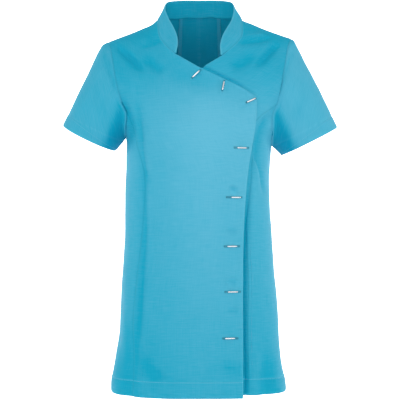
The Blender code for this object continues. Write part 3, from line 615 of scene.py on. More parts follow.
def measured(knots):
    """A dense smooth curve through the knots, with the distance along it at each point."""
    dense = smooth_curve(knots, np.linspace(0, len(knots) - 1, CURVE_SPOTS * len(knots)))
    return dense, reach_along(dense)


def length_of(knots):
    return measured(knots)[1][-1]


def seam(knots, fractions, back=False):
    """An edge through (x, z) points, at fractions of its length."""
    dense, reach = measured(knots)
    x, z = (np.interp(fractions, reach / reach[-1], part) for part in dense.T)
    return locate(x, z, back)


def straight(start, end, fractions):
    """An edge that is straight in angle and height."""
    t = np.asarray(fractions)[:, None]
    return np.array(start) * (1 - t) + np.array(end) * t


def scoop(start, end, fractions):
    """A quarter ellipse in angle and height that leaves the underarm level."""
    t = np.asarray(fractions) * math.pi / 2
    angle = start[0] + (end[0] - start[0]) * np.sin(t)
    height = start[1] + (end[1] - start[1]) * (1 - np.cos(t))
    return np.stack([angle, height], axis=-1)


def joined(*edges):
    """One edge from several that follow each other."""
    return np.concatenate([edges[0]] + [edge[1:] for edge in edges[1:]])


def graded(length, close_start=True, close_end=True, step=MESH_STEP):
    """Fractions of a length in even steps, with close ones at the ends that are asked for."""
    start = np.array(EDGE_ROWS if close_start else (0.0,))
    end = length - np.array(EDGE_ROWS if close_end else (0.0,))[::-1]
    steps = max(int(round((end[0] - start[-1]) / step)), 1)
    middle = np.linspace(start[-1], end[0], steps + 1)[1:-1]
    return np.concatenate([start, middle, end]) / length


def hemmed(length, hem, close_end=True):
    """Fractions of a length that starts at a hem's fold, with close rows at the fold and the stitch line."""
    fold = list(EDGE_ROWS) + list(np.linspace(EDGE_ROWS[-1], hem - HEM_ROWS[-1], FOLD_ROWS)[1:])
    line = [hem + row for row in HEM_ROWS]
    rest = (length - line[-1]) * graded(length - line[-1], False, close_end)[1:] + line[-1]
    return np.concatenate([fold, line, rest]) / length


def arm_fractions(knots, count):
    """Even fractions of an armhole's length, with close rows at the shoulder."""
    return np.concatenate([np.linspace(0, 1, count)[:-1], 1 - np.array(EDGE_ROWS)[::-1] / length_of(knots)])


def patch(left, right, bottom, top):
    """Angles and heights of a grid between four edges, whose end curves fade out away from the ends."""
    v = np.linspace(0, 1, len(left))[:, None, None]
    reaches = [reach_along(edge)[None, :, None] for edge in (bottom, top)]
    low_share, high_share = (reach / reach[0, -1] for reach in reaches)
    low_fade, high_fade = (1 - v) ** BORDER_FADE, v**BORDER_FADE
    across = low_share * (1 - high_fade) + high_share * high_fade
    sides = left[:, None] * (1 - across) + right[:, None] * across
    low = bottom[0] * (1 - low_share) + bottom[-1] * low_share
    high = top[0] * (1 - high_share) + top[-1] * high_share
    return sides + (bottom - low) * low_fade + (top - high) * high_fade


def distances(points):
    """How far each point of a grid is from its four borders, along the cloth."""
    columns = np.linalg.norm(np.diff(points, axis=1), axis=-1)
    rows = np.linalg.norm(np.diff(points, axis=0), axis=-1)
    left = np.concatenate([np.zeros((len(points), 1)), np.cumsum(columns, axis=1)], axis=1)
    bottom = np.concatenate([np.zeros((1, points.shape[1])), np.cumsum(rows, axis=0)], axis=0)
    return dict(left=left, right=left[:, -1:] - left, bottom=bottom, top=bottom[-1:] - bottom)


def edge_relief(kind, away, hem=HEM):
    """How far the cloth stands out at a distance from a sewn, risen, lapped, turned or hemmed edge."""
    puff = SEAM_PUFF * bell(away - PUFF_PLACE, PUFF_WIDTH)
    roll = EDGE_ROLL * bell(away, ROLL_WIDTH)
    if kind == "sewn":
        return puff - SEAM_DIP * bell(away, SEAM_WIDTH)
    if kind == "risen":
        return puff + SEAM_DIP * (1 - bell(away, SEAM_WIDTH))
    if kind == "lapped":
        return LAP_RISE * bell(away, LAP_WIDTH) - roll
    if kind == "turned":
        return -roll
    swell = smoothstep(0, HEM_SWELL, away) * smoothstep(hem + HEM_PAST, hem - HEM_SWELL, away)
    return HEM_PUFF * swell - HEM_DIP * bell(away - hem, HEM_DIP_WIDTH) - roll


def hem_wall(from_edge, hem):
    """The cloth's thickness, with a second layer inside the hem."""
    return CLOTH + HEM_LAYER * smoothstep(hem + HEM_STEP, hem - HEM_STEP, from_edge)


def grid_normals(points, loop=False):
    """Unit normals of a grid of points whose columns run across and rows run up."""
    if loop:
        across = np.roll(points, -1, axis=1) - np.roll(points, 1, axis=1)
    else:
        across = np.gradient(points, axis=1)
    return unit(np.cross(across, np.gradient(points, axis=0)))


def outward(normals, away):
    """The normals, turned round if they face the middle."""
    return -normals if np.sum(normals * away) < 0 else normals


# ---------------------------------------------------------------- meshes


class Form:
    """Points, faces and marks on the cloth, gathered for one mesh."""

    def __init__(self):
        self.points, self.faces, self.marks = [], [], []
        self.count = 0

    def add(self, points, faces, marks=(0, 0, 0, 0)):
        """Adds points, faces and marks: two places on the flat cut, the painted seam shade and paler rubbed,
        highlit edges there, and how much painted highlight the colour takes there.
        """
        self.points.append(points)
        self.faces += [tuple(int(corner) + self.count for corner in face) for face in faces]
        self.marks.append(np.broadcast_to(marks, (len(points), 4)))
        self.count += len(points)

    def shell(self, outer, inner, loop=False, pressed=0.0, taut=0.0, inside=0.0):
        """A closed cloth wall between two grids."""
        rows, columns = outer.shape[:2]
        under = rows * columns
        index = np.arange(under).reshape(rows, columns)
        if loop:
            index = np.concatenate([index, index[:, :1]], axis=1)
        low, high = index[:-1], index[1:]
        a, b, c, d = (part.ravel() for part in (low[:, :-1], low[:, 1:], high[:, 1:], high[:, :-1]))
        faces = list(zip(a, b, c, d)) + list(zip(a + under, d + under, c + under, b + under))
        rims = [index[0], index[-1, ::-1]]
        if not loop:
            rims += [index[::-1, 0], index[:, -1]]
        for rim in rims:
            faces += list(zip(rim[1:], rim[:-1], rim[:-1] + under, rim[1:] + under))
        away = distances(outer)
        marks = np.zeros((2, rows, columns, 4))
        marks[..., 0], marks[..., 1], marks[..., 2] = away["left"], away["bottom"], pressed
        marks[0, ..., 3], marks[1, ..., 3] = taut, inside
        self.add(np.concatenate([outer.reshape(-1, 3), inner.reshape(-1, 3)]), faces, marks.reshape(-1, 4))

    def rod(self, path, radius, sides, profile=1.0):
        """A round thread or bar along a path, whose radius follows a profile."""
        path = np.asarray(path, dtype=float)
        runs = unit(np.gradient(path, axis=0))
        side = unit(np.cross(runs, ROD_GUIDE))
        up = np.cross(runs, side)
        sizes = radius * np.broadcast_to(profile, len(path))
        angles = np.linspace(0, 2 * math.pi, sides, endpoint=False)
        rings = [
            spot + size * (np.outer(np.cos(angles), a) + np.outer(np.sin(angles), b))
            for spot, size, a, b in zip(path, sizes, side, up)
        ]
        last = (len(path) - 1) * sides
        faces = []
        for low in range(0, last, sides):
            for step in range(sides):
                after = (step + 1) % sides
                faces.append((low + step, low + after, low + sides + after, low + sides + step))
        faces += [tuple(range(sides))[::-1], tuple(range(last, last + sides))]
        self.add(np.concatenate(rings), faces)

    def build(self, piece, sharp=50):
        """The piece, with a sharp edge where faces meet at more than so many degrees."""
        mesh = bpy.data.meshes.new(piece)
        mesh.from_pydata(np.concatenate(self.points).tolist(), [], self.faces)
        marks = np.concatenate(self.marks).astype(np.float32)
        corners = np.zeros(len(mesh.loops), dtype=np.int32)
        mesh.loops.foreach_get("vertex_index", corners)
        mesh.uv_layers.new(name="cut").data.foreach_set("uv", marks[corners, :2].ravel())
        # Point attributes that carry painted seam shade, paler rubbed and highlit edges, and painted
        # highlight and shade to the cloth's colour
        for column, name in ((2, "pressed"), (3, "taut")):
            mesh.attributes.new(name, "FLOAT", "POINT").data.foreach_set("value", marks[:, column].copy())
        form = bmesh.new()
        form.from_mesh(mesh)
        bmesh.ops.recalc_face_normals(form, faces=form.faces)
        form.to_mesh(mesh)
        form.free()
        mesh.shade_smooth()
        mesh.set_sharp_from_angle(angle=math.radians(sharp))
        return placed(piece, mesh)


def placed(name, data):
    """A new object in the scene."""
    obj = bpy.data.objects.new(name, data)
    bpy.context.scene.collection.objects.link(obj)
    return obj


# ---------------------------------------------------------------- panels

PANELS = {}


def keep_piece(name, outer, wall, normals, **marks):
    """Makes a piece's wall inwards from its outer points, and keeps what the sewing needs."""
    inner = outer - normals * wall[..., None]
    form = Form()
    form.shell(outer, inner, **marks)
    PANELS[name] = dict(form=form, outer=outer, inner=inner, normals=normals)
    return PANELS[name]


def lay_panel(name, grid, edges=ALL_SEWN, lift=0.0, creases=(), share=1.0):
    """A panel cut from the skin, with relief at its edges, and painted highlight and painted shade in its
    colour: painted shade along its seams, paler rubbed and highlit folds, and painted highlight and shade
    over the panel.
    """
    angle, height = grid[..., 0], grid[..., 1]
    points = skin(angle, height, lift, creases)
    x, y, z = (points[..., part] for part in range(3))
    # On the back, painted shade deepens the colour towards the left side
    share = np.where(y > 0, 1 - BACK_PAINTED_SHADE * smoothstep(*BACK_PAINTED_SHADE_PLACE, x), share)
    # How much painted highlight the colour takes here: less in creases, which reads as painted shade
    taut = tautness(x, z, sunk(angle, height, creases), share)
    normals = grid_normals(points)
    normals = normals * np.sign(np.sum(normals * skin_normals(angle, height)))
    away = distances(points)
    outer = points + normals * sum(edge_relief(kind, away[edge]) for edge, kind in edges.items())[..., None]
    seams = [away[edge] for edge, kind in edges.items() if kind == "sewn"]
    folds = [away[edge] for edge, kind in edges.items() if kind in ("turned", "lapped")]
    folds.append(HEM_SHARPNESS * (away["bottom"] - HEM))
    # Painted shade darkens the colour along seams. Along turned and lapped edges and the hem line the colour
    # is paler, partly rubbed wear and partly painted highlight.
    pressed = sum(bell(distance, SEAM_SHADE_WIDTH) for distance in seams)
    pressed = pressed - sum(RUBBED_AND_HIGHLIT * bell(distance, RUB_AND_HIGHLIGHT_WIDTH) for distance in folds)
    # Painted highlight: a paler line down the middle of the back's inner face, along its fold
    fold_line = FOLD_HIGHLIGHT * bell(x, FOLD_HIGHLIGHT_WIDTH) * (y > 0)
    wall = hem_wall(away["bottom"], HEM)
    return keep_piece(name, outer, wall, normals, pressed=pressed, taut=taut, inside=fold_line)


def neck_edge(start, end, fractions):
    """Part of the neckline between two of the collar's rows, in angle and height, and its places in rows."""
    first, last = COLLAR_KNOTS[start], COLLAR_KNOTS[end]
    knots = [locate(*foot) for foot, _ in COLLAR[first : last + 1]]
    places = np.asarray(fractions) * (last - first)
    return smooth_curve(knots, places), places + first


def tip(side):
    """The shoulder's outer end, where the seam meets the armhole."""
    x = SHOULDER_TIP[side]
    return x, float(SHOULDER.at("height", x))


def front_panels(side, hand):
    """The centre and side panels of one front. Returns its armhole, and its neckline with places."""
    front = FRONTS[side]
    way = slice(None, None, -hand)
    bust = locate(*PRINCESS[side][-1])
    low = hemmed(length_of(PRINCESS[side]), HEM, False)
    arm_knots = ARMHOLE[side] + [tip(side)]
    arm_rows = arm_fractions(arm_knots, ARM_ROWS)
    on_neck = arm_rows <= NECK_TURN + 1e-9
    neck_rows = arm_rows[on_neck] / NECK_TURN
    collar_rows = np.concatenate([[0.0], (arm_rows[~on_neck] - NECK_TURN) / (1 - NECK_TURN)])
    arm = seam(arm_knots, arm_rows)
    princess = seam(PRINCESS[side], low)
    princess[-1] = arm[0] = bust
    neckline, places = neck_edge(*front["collar"], collar_rows if side == "right" else 1 - collar_rows)
    inner = joined(seam(front["edge"], low), seam(front["neck"], neck_rows), neckline)
    pair = (joined(princess, arm), inner)[way]
    across = graded(front["centre_width"])
    bottom, top = (straight(pair[0][row], pair[1][row], across) for row in (0, -1))
    grid = patch(*pair, bottom, top)
    # The under front takes less painted highlight, which reads as painted shade
    taut = front["taut"]
    creases = front["centre_creases"]
    centre = lay_panel(side + "_front_centre", grid, front["edges"], front["lift"], creases, taut)

    underarm = (hand * math.pi / 2, UNDERARM[side])
    rows = hemmed(length_of(PRINCESS[side]), HEM)
    princess = seam(PRINCESS[side], rows)
    princess[-1] = bust
    side_seam = straight((underarm[0], SIDE_HEM), underarm, rows)
    across = graded(front["side_width"])
    hem = straight(side_seam[0], princess[0], across)
    curve = scoop(underarm, bust, across)
    grid = patch(*(side_seam, princess)[way], hem[way], curve[way])
    flank = lay_panel(side + "_front_side", grid, creases=front["side_creases"], share=taut)

    arm_column, neck_column = (0, -1)[way]
    arm_start, neck_start = len(low) - 1, len(low) + len(neck_rows) - 2
    parts = ("outer", "normals")
    hole = [joined(flank[part][-1][way], centre[part][arm_start:, arm_column]) for part in parts]
    return hole, [centre[part][neck_start:, neck_column] for part in parts] + [places]


def back_panels():
    """The centre back and the two side backs. Returns their armholes, and their necklines with places."""
    low = hemmed(length_of(BACK_SEAM["right"]), HEM, False)
    high = graded(length_of(BACK_SEAM_TOP["right"]), False)
    across = graded(CENTRE_BACK_WIDTH)
    neck, places = neck_edge("right_seam", "left_seam", across)
    lines = {}
    for side, end in (("right", 0), ("left", -1)):
        lines[side] = joined(seam(BACK_SEAM[side], low, True), seam(BACK_SEAM_TOP[side], high, True))
        lines[side][-1] = neck[end]
    hem = straight(lines["right"][0], lines["left"][0], across)
    centre = lay_panel("back_centre", patch(lines["right"], lines["left"], hem, neck))
    holes, necks = {}, {"centre": [centre["outer"][-1], centre["normals"][-1], places]}
    for side, hand in HANDS.items():
        line, far, over = lines[side], hand * math.pi / 2, 2 * RIDGE
        underarm = (far, over - UNDERARM[side])
        deepest = locate(*BACK_ARMHOLE[side][0], back=True)
        rest = len(line) - len(low)
        scoop_rows = int(round(rest * BACK_SCOOP))
        arm_knots = BACK_ARMHOLE[side] + [tip(side)]
        arm = seam(arm_knots, arm_fractions(arm_knots, rest - scoop_rows - 2), True)
        arm[0] = deepest
        outer = joined(
            straight((far, over - SIDE_HEM), underarm, low),
            scoop(underarm, deepest, np.linspace(0, 1, scoop_rows + 1)),
            arm,
        )
        shoulder, slope = graded(SHOULDER_WIDTH, True, False), graded(SLOPE_WIDTH, False, True)
        if side == "right":
            neck, places = neck_edge("right_point", "right_seam", slope)
        else:
            neck, places = neck_edge("left_seam", "left_point", 1 - slope)
        top = joined(straight(outer[-1], neck[0], shoulder), neck)
        reach = reach_along(top)
        hem = straight(outer[0], line[0], reach / reach[-1])
        panel = lay_panel("back_side_" + side, patch(outer, line, hem, top))
        holes[side] = [panel[part][len(low) - 1 :, 0] for part in ("outer", "normals")]
        necks[side] = [panel[part][-1, len(shoulder) - 1 :] for part in ("outer", "normals")] + [places]
    return holes, necks


def mitred(normals, neighbours):
    """Normals at a seam that follow the neighbour's where the two pieces nearly continue each other."""
    share = smoothstep(*MITRE, np.sum(normals * neighbours, axis=-1, keepdims=True))
    return unit(neighbours * share + normals * (1 - share))


def past_line(x, z, line):
    """How far a point lies past a line from the armpit to the cuff, on the body's side."""
    start, end = (np.array(point) for point in line)
    run = unit(end - start)
    return ((x - start[0]) * run[1] - (z - start[1]) * run[0]) * np.sign(run[0])


def sleeve(side, hand, front, back):
    """A set-in sleeve from the armhole's points to the cuff, as one closed loop of cloth."""
    hole, hole_normals = (np.concatenate([front[part][:0:-1], back[part][:-1]]) for part in (0, 1))
    table = SLEEVES[side]

    def spine(along):
        """The middle of a ring, and the way from there to the sleeve's top."""
        top, under = (
            np.array([table.at(line + "_x", along), 0 * along, table.at(line + "_z", along)])
            for line in ("top", "under")
        )
        return (top + under) / 2, (top - under) / 2

    def ring(angle, along):
        middle, reach = spine(along)
        fore, up = squircle(angle, SLEEVE_POWER)
        down = np.array([hand * SLEEVE_FALL[0], 0, SLEEVE_FALL[1]])
        depth = table.at("depth", along) * np.array([0, -1, 0])
        tilt = fore * np.where(fore > 0, table.at("dip", along), table.at("rise", along))
        return middle + np.outer(up, reach) + np.outer(fore, depth) + np.outer(tilt, down)

    middle, reach = spine(0.0)
    up = (hole - middle) @ reach / (reach @ reach)
    angles = np.arctan2(-hole[:, 1] / table.at("depth", 0.0), up)
    change = hole - ring(angles, 0.0)
    alongs = 1 - hemmed(SLEEVE_LENGTH, CUFF_HEM)[::-1]
    points = np.array([ring(angles, along) + change * (1 - along) ** SEAM_FOLLOW for along in alongs])
    x, z = points[..., 0], points[..., 2]
    facing = smoothstep(0.0, TURN_FADE, -points[..., 1] / SLEEVE_HALF)
    past = past_line(x, z, TUCK[side])
    grow = smoothstep(0.0, TUCK_GROWTH, alongs)[:, None]
    tuck = TUCK_DEPTH[side] * smoothstep(0, TUCK_WIDTH, past) * facing * grow
    points = points + np.array([0, 1, 0]) * tuck[..., None]
    normals = outward(grid_normals(points, loop=True), points - points.mean(axis=1, keepdims=True))
    normals[0] = mitred(normals[0], hole_normals)
    from_seam = distances(points)["bottom"]
    from_cuff = from_seam[-1:] - from_seam
    folded = crease_depth(x, z, SLEEVE_CREASES[side]) * facing
    mirror = [dict(fold, depth=fold["depth"] * BACK_CREASE_SHARE) for fold in SLEEVE_CREASES[side]]
    behind = smoothstep(0.0, TURN_FADE, points[..., 1] / SLEEVE_HALF)
    relief = edge_relief("risen", from_seam) + edge_relief("hem", from_cuff, CUFF_HEM)
    waves = sway(x * SWAY_ACROSS + SWAY_START, z * SWAY_DOWN)
    relief = relief + waves * smoothstep(0, SWAY_FADE, from_seam)
    relief = relief - folded - crease_depth(x, z + BACK_CREASE_DROP, mirror) * behind
    outer = points + normals * relief[..., None]
    # Painted shade deepens the tucked-under front of the sleeve; elsewhere painted highlight pales it by
    # height, less in creases. Painted shade darkens the seam, and the cuff's hem line is paler, partly rubbed
    # wear and partly painted highlight.
    underarm_shade = smoothstep(*UNDERARM_SHADE_PAST_TUCK, past) * facing * smoothstep(*UNDERARM_SHADE_FROM_SEAM, from_seam)
    taut = SLEEVE_PAINTED_LIGHT[side] * smoothstep(*SLEEVE_LIGHT_FADE, z) * (1 - underarm_shade) - folded / CREASE_SHADE_DEPTH
    pressed = bell(from_seam, SLEEVE_MARKS["seam"])
    pressed = pressed - SLEEVE_MARKS["rubbed_and_highlit"] * bell(from_cuff - CUFF_HEM, SLEEVE_MARKS["hem"])
    marks = dict(loop=True, pressed=pressed, taut=np.clip(taut, 0, 1))
    keep_piece("sleeve_" + side, outer, hem_wall(from_cuff, CUFF_HEM), normals, **marks)


def collar(base, base_normals, places):
    """The stand collar, from the neckline's points up to its free edge."""
    top = smooth_curve([edge for _, edge in COLLAR], places)
    v = graded(COLLAR_HEIGHT, step=COLLAR_STEP)[:, None]
    points = base[None] * (1 - v[..., None]) + top[None] * v[..., None]
    normals = outward(grid_normals(points), points - points.mean(axis=(0, 1)))
    normals[0] = mitred(normals[0], base_normals)
    away = distances(points)
    relief = edge_relief("risen", away["bottom"]) * (1 - v)
    for edge in ("top", "left", "right"):
        relief = relief + edge_relief("turned", away[edge])
    relief = relief + COLLAR_PUFF * np.sin(math.pi * v)
    relief = relief + COLLAR_WAVE * np.sin(away["left"] * COLLAR_WAVES) * v * (1 - v) * 4
    outer = points + normals * relief[..., None]
    wall = COLLAR_WALL + edge_relief("turned", away["top"])
    # Painted shade darkens the collar's seam, its top edge is paler with rubbed wear and painted highlight,
    # and the whole collar takes an even share of painted highlight
    pressed = COLLAR_MARKS["pressed"] * bell(away["bottom"], COLLAR_MARKS["seam"])
    pressed = pressed - COLLAR_MARKS["rubbed_and_highlit"] * bell(away["top"], COLLAR_MARKS["edge"])
    keep_piece("collar", outer, wall, normals, pressed=pressed, taut=COLLAR_PAINTED_LIGHT)


def sew():
    """Lays out every panel, sets in the sleeves and puts the collar on the joined neckline."""
    holes, necks = back_panels()
    fronts = {side: front_panels(side, hand) for side, hand in HANDS.items()}
    for side, hand in HANDS.items():
        sleeve(side, hand, fronts[side][0], holes[side])
    line = [fronts["right"][1], necks["right"], necks["centre"], necks["left"], fronts["left"][1]]
    ways = (1, 1, 1, -1, -1)
    collar(*(joined(*(part[row][::way] for part, way in zip(line, ways))) for row in range(3)))


# ---------------------------------------------------------------- sewing and buttons


def stitch_row(form, line, normals, pitch=STITCH_PITCH, length=STITCH, radius=THREAD):
    """Stitches along a line on the cloth, each a short thread that dips at both ends."""
    reach = reach_along(line)
    count = int(reach[-1] // pitch)
    for number in range(count):
        at = (number + 0.5) * reach[-1] / count
        spots = np.clip(at + STITCH_PLACES * length, 0, reach[-1])
        path = np.stack([np.interp(spots, reach, part) for part in line.T], axis=-1)
        up = unit(np.array([np.interp(at, reach, part) for part in normals.T]))
        form.rod(path + np.outer(STITCH_RISES * radius, up), radius, 5, STITCH_SIZES)


def seam_allowance(threads, name, column):
    """An overlocked strip along a seam, against the panel's inner face, with the stitches on its edge."""
    start, inwards = ALLOWANCE_START, ALLOWANCE_SIDE
    panel = PANELS[name]
    line, normals = panel["inner"][start:, column], panel["normals"][start:, column]
    inward = panel["inner"][start:, column - inwards if column == -1 else inwards] - line
    sideways = np.cross(normals, unit(np.gradient(line, axis=0)))
    sideways *= np.sign(np.sum(sideways * inward, axis=-1, keepdims=True))
    steps = ALLOWANCE_STEPS[None, :, None] * ALLOWANCE
    wave = ALLOWANCE_WAVE * np.sin(np.arange(len(line)) * ALLOWANCE_WAVES)[:, None, None]
    wave = wave * ALLOWANCE_WAVING[None, :, None]
    top = line[:, None] + sideways[:, None] * (steps + wave) - normals[:, None] * ALLOWANCE_GAP
    under = top - normals[:, None] * ALLOWANCE_WALL
    # The allowance takes an even share of painted highlight on both faces
    panel["form"].shell(top, under, taut=ALLOWANCE_PAINTED_LIGHT, inside=ALLOWANCE_PAINTED_LIGHT)
    edge = under[:, -1] + sideways * OVERLOCK_PAST
    stitch_row(threads, edge, -normals, OVERLOCK_PITCH, OVERLOCK, OVERLOCK_THREAD)


def hem_stitches(threads):
    """Stitch lines of the body's hem and of both cuffs."""

    def row_at(panel, edge, depth):
        return int(np.argmin(np.abs(distances(panel["outer"])[edge][:, 0] - depth)))

    hem_row = row_at(PANELS["back_centre"], "bottom", HEM)
    for name, panel in PANELS.items():
        if name.startswith("sleeve"):
            row = row_at(panel, "top", CUFF_HEM)
            loop = (np.concatenate([panel[part][row], panel[part][row][:1]]) for part in ("outer", "normals"))
            stitch_row(threads, *loop)
        elif name != "collar":
            stitch_row(threads, panel["outer"][hem_row], panel["normals"][hem_row])


def on_wrap(row, offsets, tree):
    """Points and normals of the finished wrap along a bar's line."""
    slant, offsets = math.radians(row["slant"]), np.asarray(offsets)
    places = locate(row["x"] + offsets * math.cos(slant), row["z"] + offsets * math.sin(slant))
    angle, height = places[:, 0], places[:, 1]
    above = skin(angle, height, WRAP_LIFT, WRAP_CREASES) + skin_normals(angle, height) * SEEK_ABOVE
    hits = [tree.find_nearest(Vector(spot)) for spot in above]
    return np.array([hit[0] for hit in hits]), np.array([hit[1] for hit in hits])


def thread_over(form, spot, across, up, bends, radius):
    """A short thread over the cloth, through points at a reach across and a rise above a spot."""
    form.rod([spot + across * reach + up * rise for reach, rise in bends], radius, 5)


def buttonhole(form, row, tree):
    """A worked buttonhole: two rows of close stitches along the slit and a bar tack at each end."""
    start, end = row["hole"]
    spots, ups = on_wrap(row, np.linspace(start, end, int((end - start) / HOLE_PITCH)), tree)
    run = unit(np.gradient(spots, axis=0))
    side = unit(np.cross(ups, run))
    near, far, bend = 0.00035, 0.00195, 0.0001
    stitch = [(near, -0.0002), (near + bend, 0.0003), (far - bend, 0.0003), (far, -0.0002)]
    tack = [(-0.0017, -0.0002), (-0.0014, 0.0004), (0.0014, 0.0004), (0.0017, -0.0002)]
    for spot, up, across in zip(spots, ups, side):
        for way in (-1, 1):
            thread_over(form, spot, across * way, up, stitch, HOLE_THREAD)
    for end in (0, -1):
        for shift in (-0.0003, 0.0, 0.0003):
            thread_over(form, spots[end] + run[end] * shift, side[end], ups[end], tack, HOLE_THREAD * 1.2)


def knot(form, row, tree):
    """A small knot of thread past the lower end of a slanted buttonhole."""
    offset = row["hole"][0] - KNOT_PAST
    spots, ups = on_wrap(row, [offset, offset + 0.0004], tree)
    loop = [(-0.0011, -0.0001), (0.0, 0.0006), (0.0011, -0.0001)]
    for turn in range(4):
        angle = turn * KNOT_TURN
        side = unit(np.cross(ups[0], [math.cos(angle), 0.2, math.sin(angle)]))
        thread_over(form, spots[0], side, ups[0], loop, HOLE_THREAD * 1.3)


def bar_button(number, row, tree):
    """A slim round-ended bar with a turned neck near one end, on two small shanks."""
    half, clear = BUTTON_LENGTH / 2, BUTTON_RADIUS + BUTTON_CLEAR
    offsets = np.linspace(BUTTON_RADIUS - half, half - BUTTON_RADIUS, BAR_SPOTS)
    spots, ups = on_wrap(row, offsets, tree)
    ends = spots[[0, -1]] + ups[[0, -1]] * clear
    along = unit(ends[1] - ends[0])
    centre = (ends[0] + ends[1]) / 2
    short = clear - np.sum((centre + np.outer(offsets, along) - spots) * ups, axis=1)
    up = ups[BAR_SPOTS // 2]
    centre = centre + up * max(short.max(), 0)
    stations = [(-place, size) for place, size in BAR_TIP] + BAR_MIDDLE + BAR_NECK + BAR_TIP[::-1]
    form = Form()
    path = [centre + along * place * half for place, _ in stations]
    form.rod(path, BUTTON_RADIUS, BAR_SIDES, [size for _, size in stations])
    for place in SHANKS:
        foot = centre + along * place * half
        form.rod([foot, foot - up * (clear + SHANK_DEPTH)], SHANK_RADIUS, 8)
    return form.build("bar_%d" % number, 45)


# ---------------------------------------------------------------- finishes


class Wire:
    """An output of a node, on which Python's signs add Math nodes."""

    def __init__(self, finish, socket):
        self.finish = finish
        self.socket = socket

    def maths(self, operation, *values):
        return self.finish.node("ShaderNodeMath", {"operation": operation}, dict(enumerate(values)))

    def __add__(self, other):
        return self.maths("ADD", self, other)

    def __sub__(self, other):
        return self.maths("SUBTRACT", self, other)

    def __rsub__(self, other):
        return self.maths("SUBTRACT", other, self)

    def __mul__(self, other):
        return self.maths("MULTIPLY", self, other)

    __radd__ = __add__
    __rmul__ = __mul__


class Finish:
    """One material whose nodes are made by a single method."""

    def __init__(self, name):
        self.material = bpy.data.materials.new(name)
        self.material.use_nodes = True
        self.tree = self.material.node_tree
        self.shader = self.tree.nodes["Principled BSDF"]
        self.place = self.node("ShaderNodeTexCoord", output="Object")

    def node(self, kind, settings=None, values=None, output=0):
        """A node of a kind, with its settings made first and then its sockets' values or links."""
        node = self.tree.nodes.new(kind)
        for name, value in (settings or {}).items():
            setattr(node, name, value)
        for socket, value in (values or {}).items():
            self.fill(node.inputs[socket], value)
        return Wire(self, node.outputs[output])

    def fill(self, socket, value):
        if isinstance(value, Wire):
            self.tree.links.new(value.socket, socket)
        else:
            socket.default_value = value

    def set(self, **values):
        """Sets the shader's sockets, named with underscores for spaces."""
        for name, value in values.items():
            self.fill(self.shader.inputs[name.replace("_", " ")], value)

    def noise(self, scale, detail, roughness, place=None):
        values = {"Vector": place or self.place, "Scale": scale, "Detail": detail, "Roughness": roughness}
        return self.node("ShaderNodeTexNoise", {}, values)

    def blend(self, factor, low, high):
        """A colour between two colours."""
        return self.node("ShaderNodeMix", {"data_type": "RGBA"}, {0: factor, 6: low, 7: high}, output=2)

    def bump(self, height, strength, distance):
        return self.node("ShaderNodeBump", {}, {"Height": height, "Strength": strength, "Distance": distance})

    def mark(self, name):
        """A mark that the cloth's points carry."""
        return self.node("ShaderNodeAttribute", {"attribute_name": name}, output="Fac")

    def clamped(self, value):
        return self.node("ShaderNodeClamp", {}, {"Value": value})

    def ramp(self, axis, low, high):
        """Zero to one, softly, between two places along an axis."""
        values = {"Value": self.along(axis, self.place), "From Min": low, "From Max": high}
        return self.node("ShaderNodeMapRange", {"interpolation_type": "SMOOTHSTEP"}, values)

    def along(self, axis, place):
        return self.node("ShaderNodeSeparateXYZ", {}, {"Vector": place}, axis)


def poly_cotton(name, deep, pale, rubbed_and_highlit):
    """Matt plain-weave poly-cotton with slub yarns, whose colour holds painted highlight and painted shade:
    paler where its light mark is high, painted shade in the seams, and paler edges that are partly rubbed
    wear and partly painted highlight.
    """
    finish = Finish(name)
    cut = finish.node("ShaderNodeUVMap", {"uv_map": "cut"})
    u, v = (finish.along(axis, cut) for axis in "XY")
    warp, weft = (part.maths("SINE", part * (math.pi / WEAVE_PITCH)) for part in (u, v))
    weave = warp * weft

    def yarn(across, along):
        place = finish.node("ShaderNodeCombineXYZ", {}, {"X": u * across, "Y": v * along})
        return finish.noise(scale=1.0, detail=3.0, roughness=0.6, place=place)

    slub = yarn(34.0, 420.0) * 0.62 + yarn(460.0, 26.0) * 0.38
    dye = finish.noise(scale=14.0, detail=3.0, roughness=0.55)
    fuzz = finish.noise(scale=900.0, detail=2.0, roughness=0.6)
    pressed, taut = finish.mark("pressed"), finish.mark("taut")
    # Painted highlight: the colour pales with the painted light mark, beside the random tone of dye, slubs
    # and weave
    tone = taut + dye * 0.20 + slub * 0.90 + weave * 0.03 + fuzz * 0.05 - 0.575
    # Painted shade: seams take a darker copy of the deep dye
    seam_shade = tuple(part * 0.62 for part in deep[:3]) + (1.0,)
    colour = finish.blend(tone, deep, pale)
    colour = finish.blend(finish.clamped(pressed * 0.20), colour, seam_shade)
    # Rubbed edges and hem lines turn paler: partly wear and partly painted highlight
    colour = finish.blend(finish.clamped(pressed * -0.50), colour, rubbed_and_highlit)
    finish.set(
        Base_Color=colour,
        Roughness=0.56 + slub * 0.10,
        Specular_IOR_Level=0.12,
        Normal=finish.bump(weave * 0.5 + slub * 0.5 + fuzz * 0.3, strength=0.22, distance=0.0002),
    )
    return finish.material


def sewing_thread(name, deep, light):
    """Spun thread with a twist along it."""
    finish = Finish(name)
    twist = finish.noise(scale=1500.0, detail=2.0, roughness=0.5)
    shade = finish.noise(scale=90.0, detail=2.0, roughness=0.5)
    finish.set(
        Base_Color=finish.blend(shade * 0.6 + twist * 0.4, deep, light),
        Roughness=0.48 + twist * 0.15,
        Sheen_Weight=0.15,
        Normal=finish.bump(twist, strength=0.35, distance=0.0001),
    )
    return finish.material


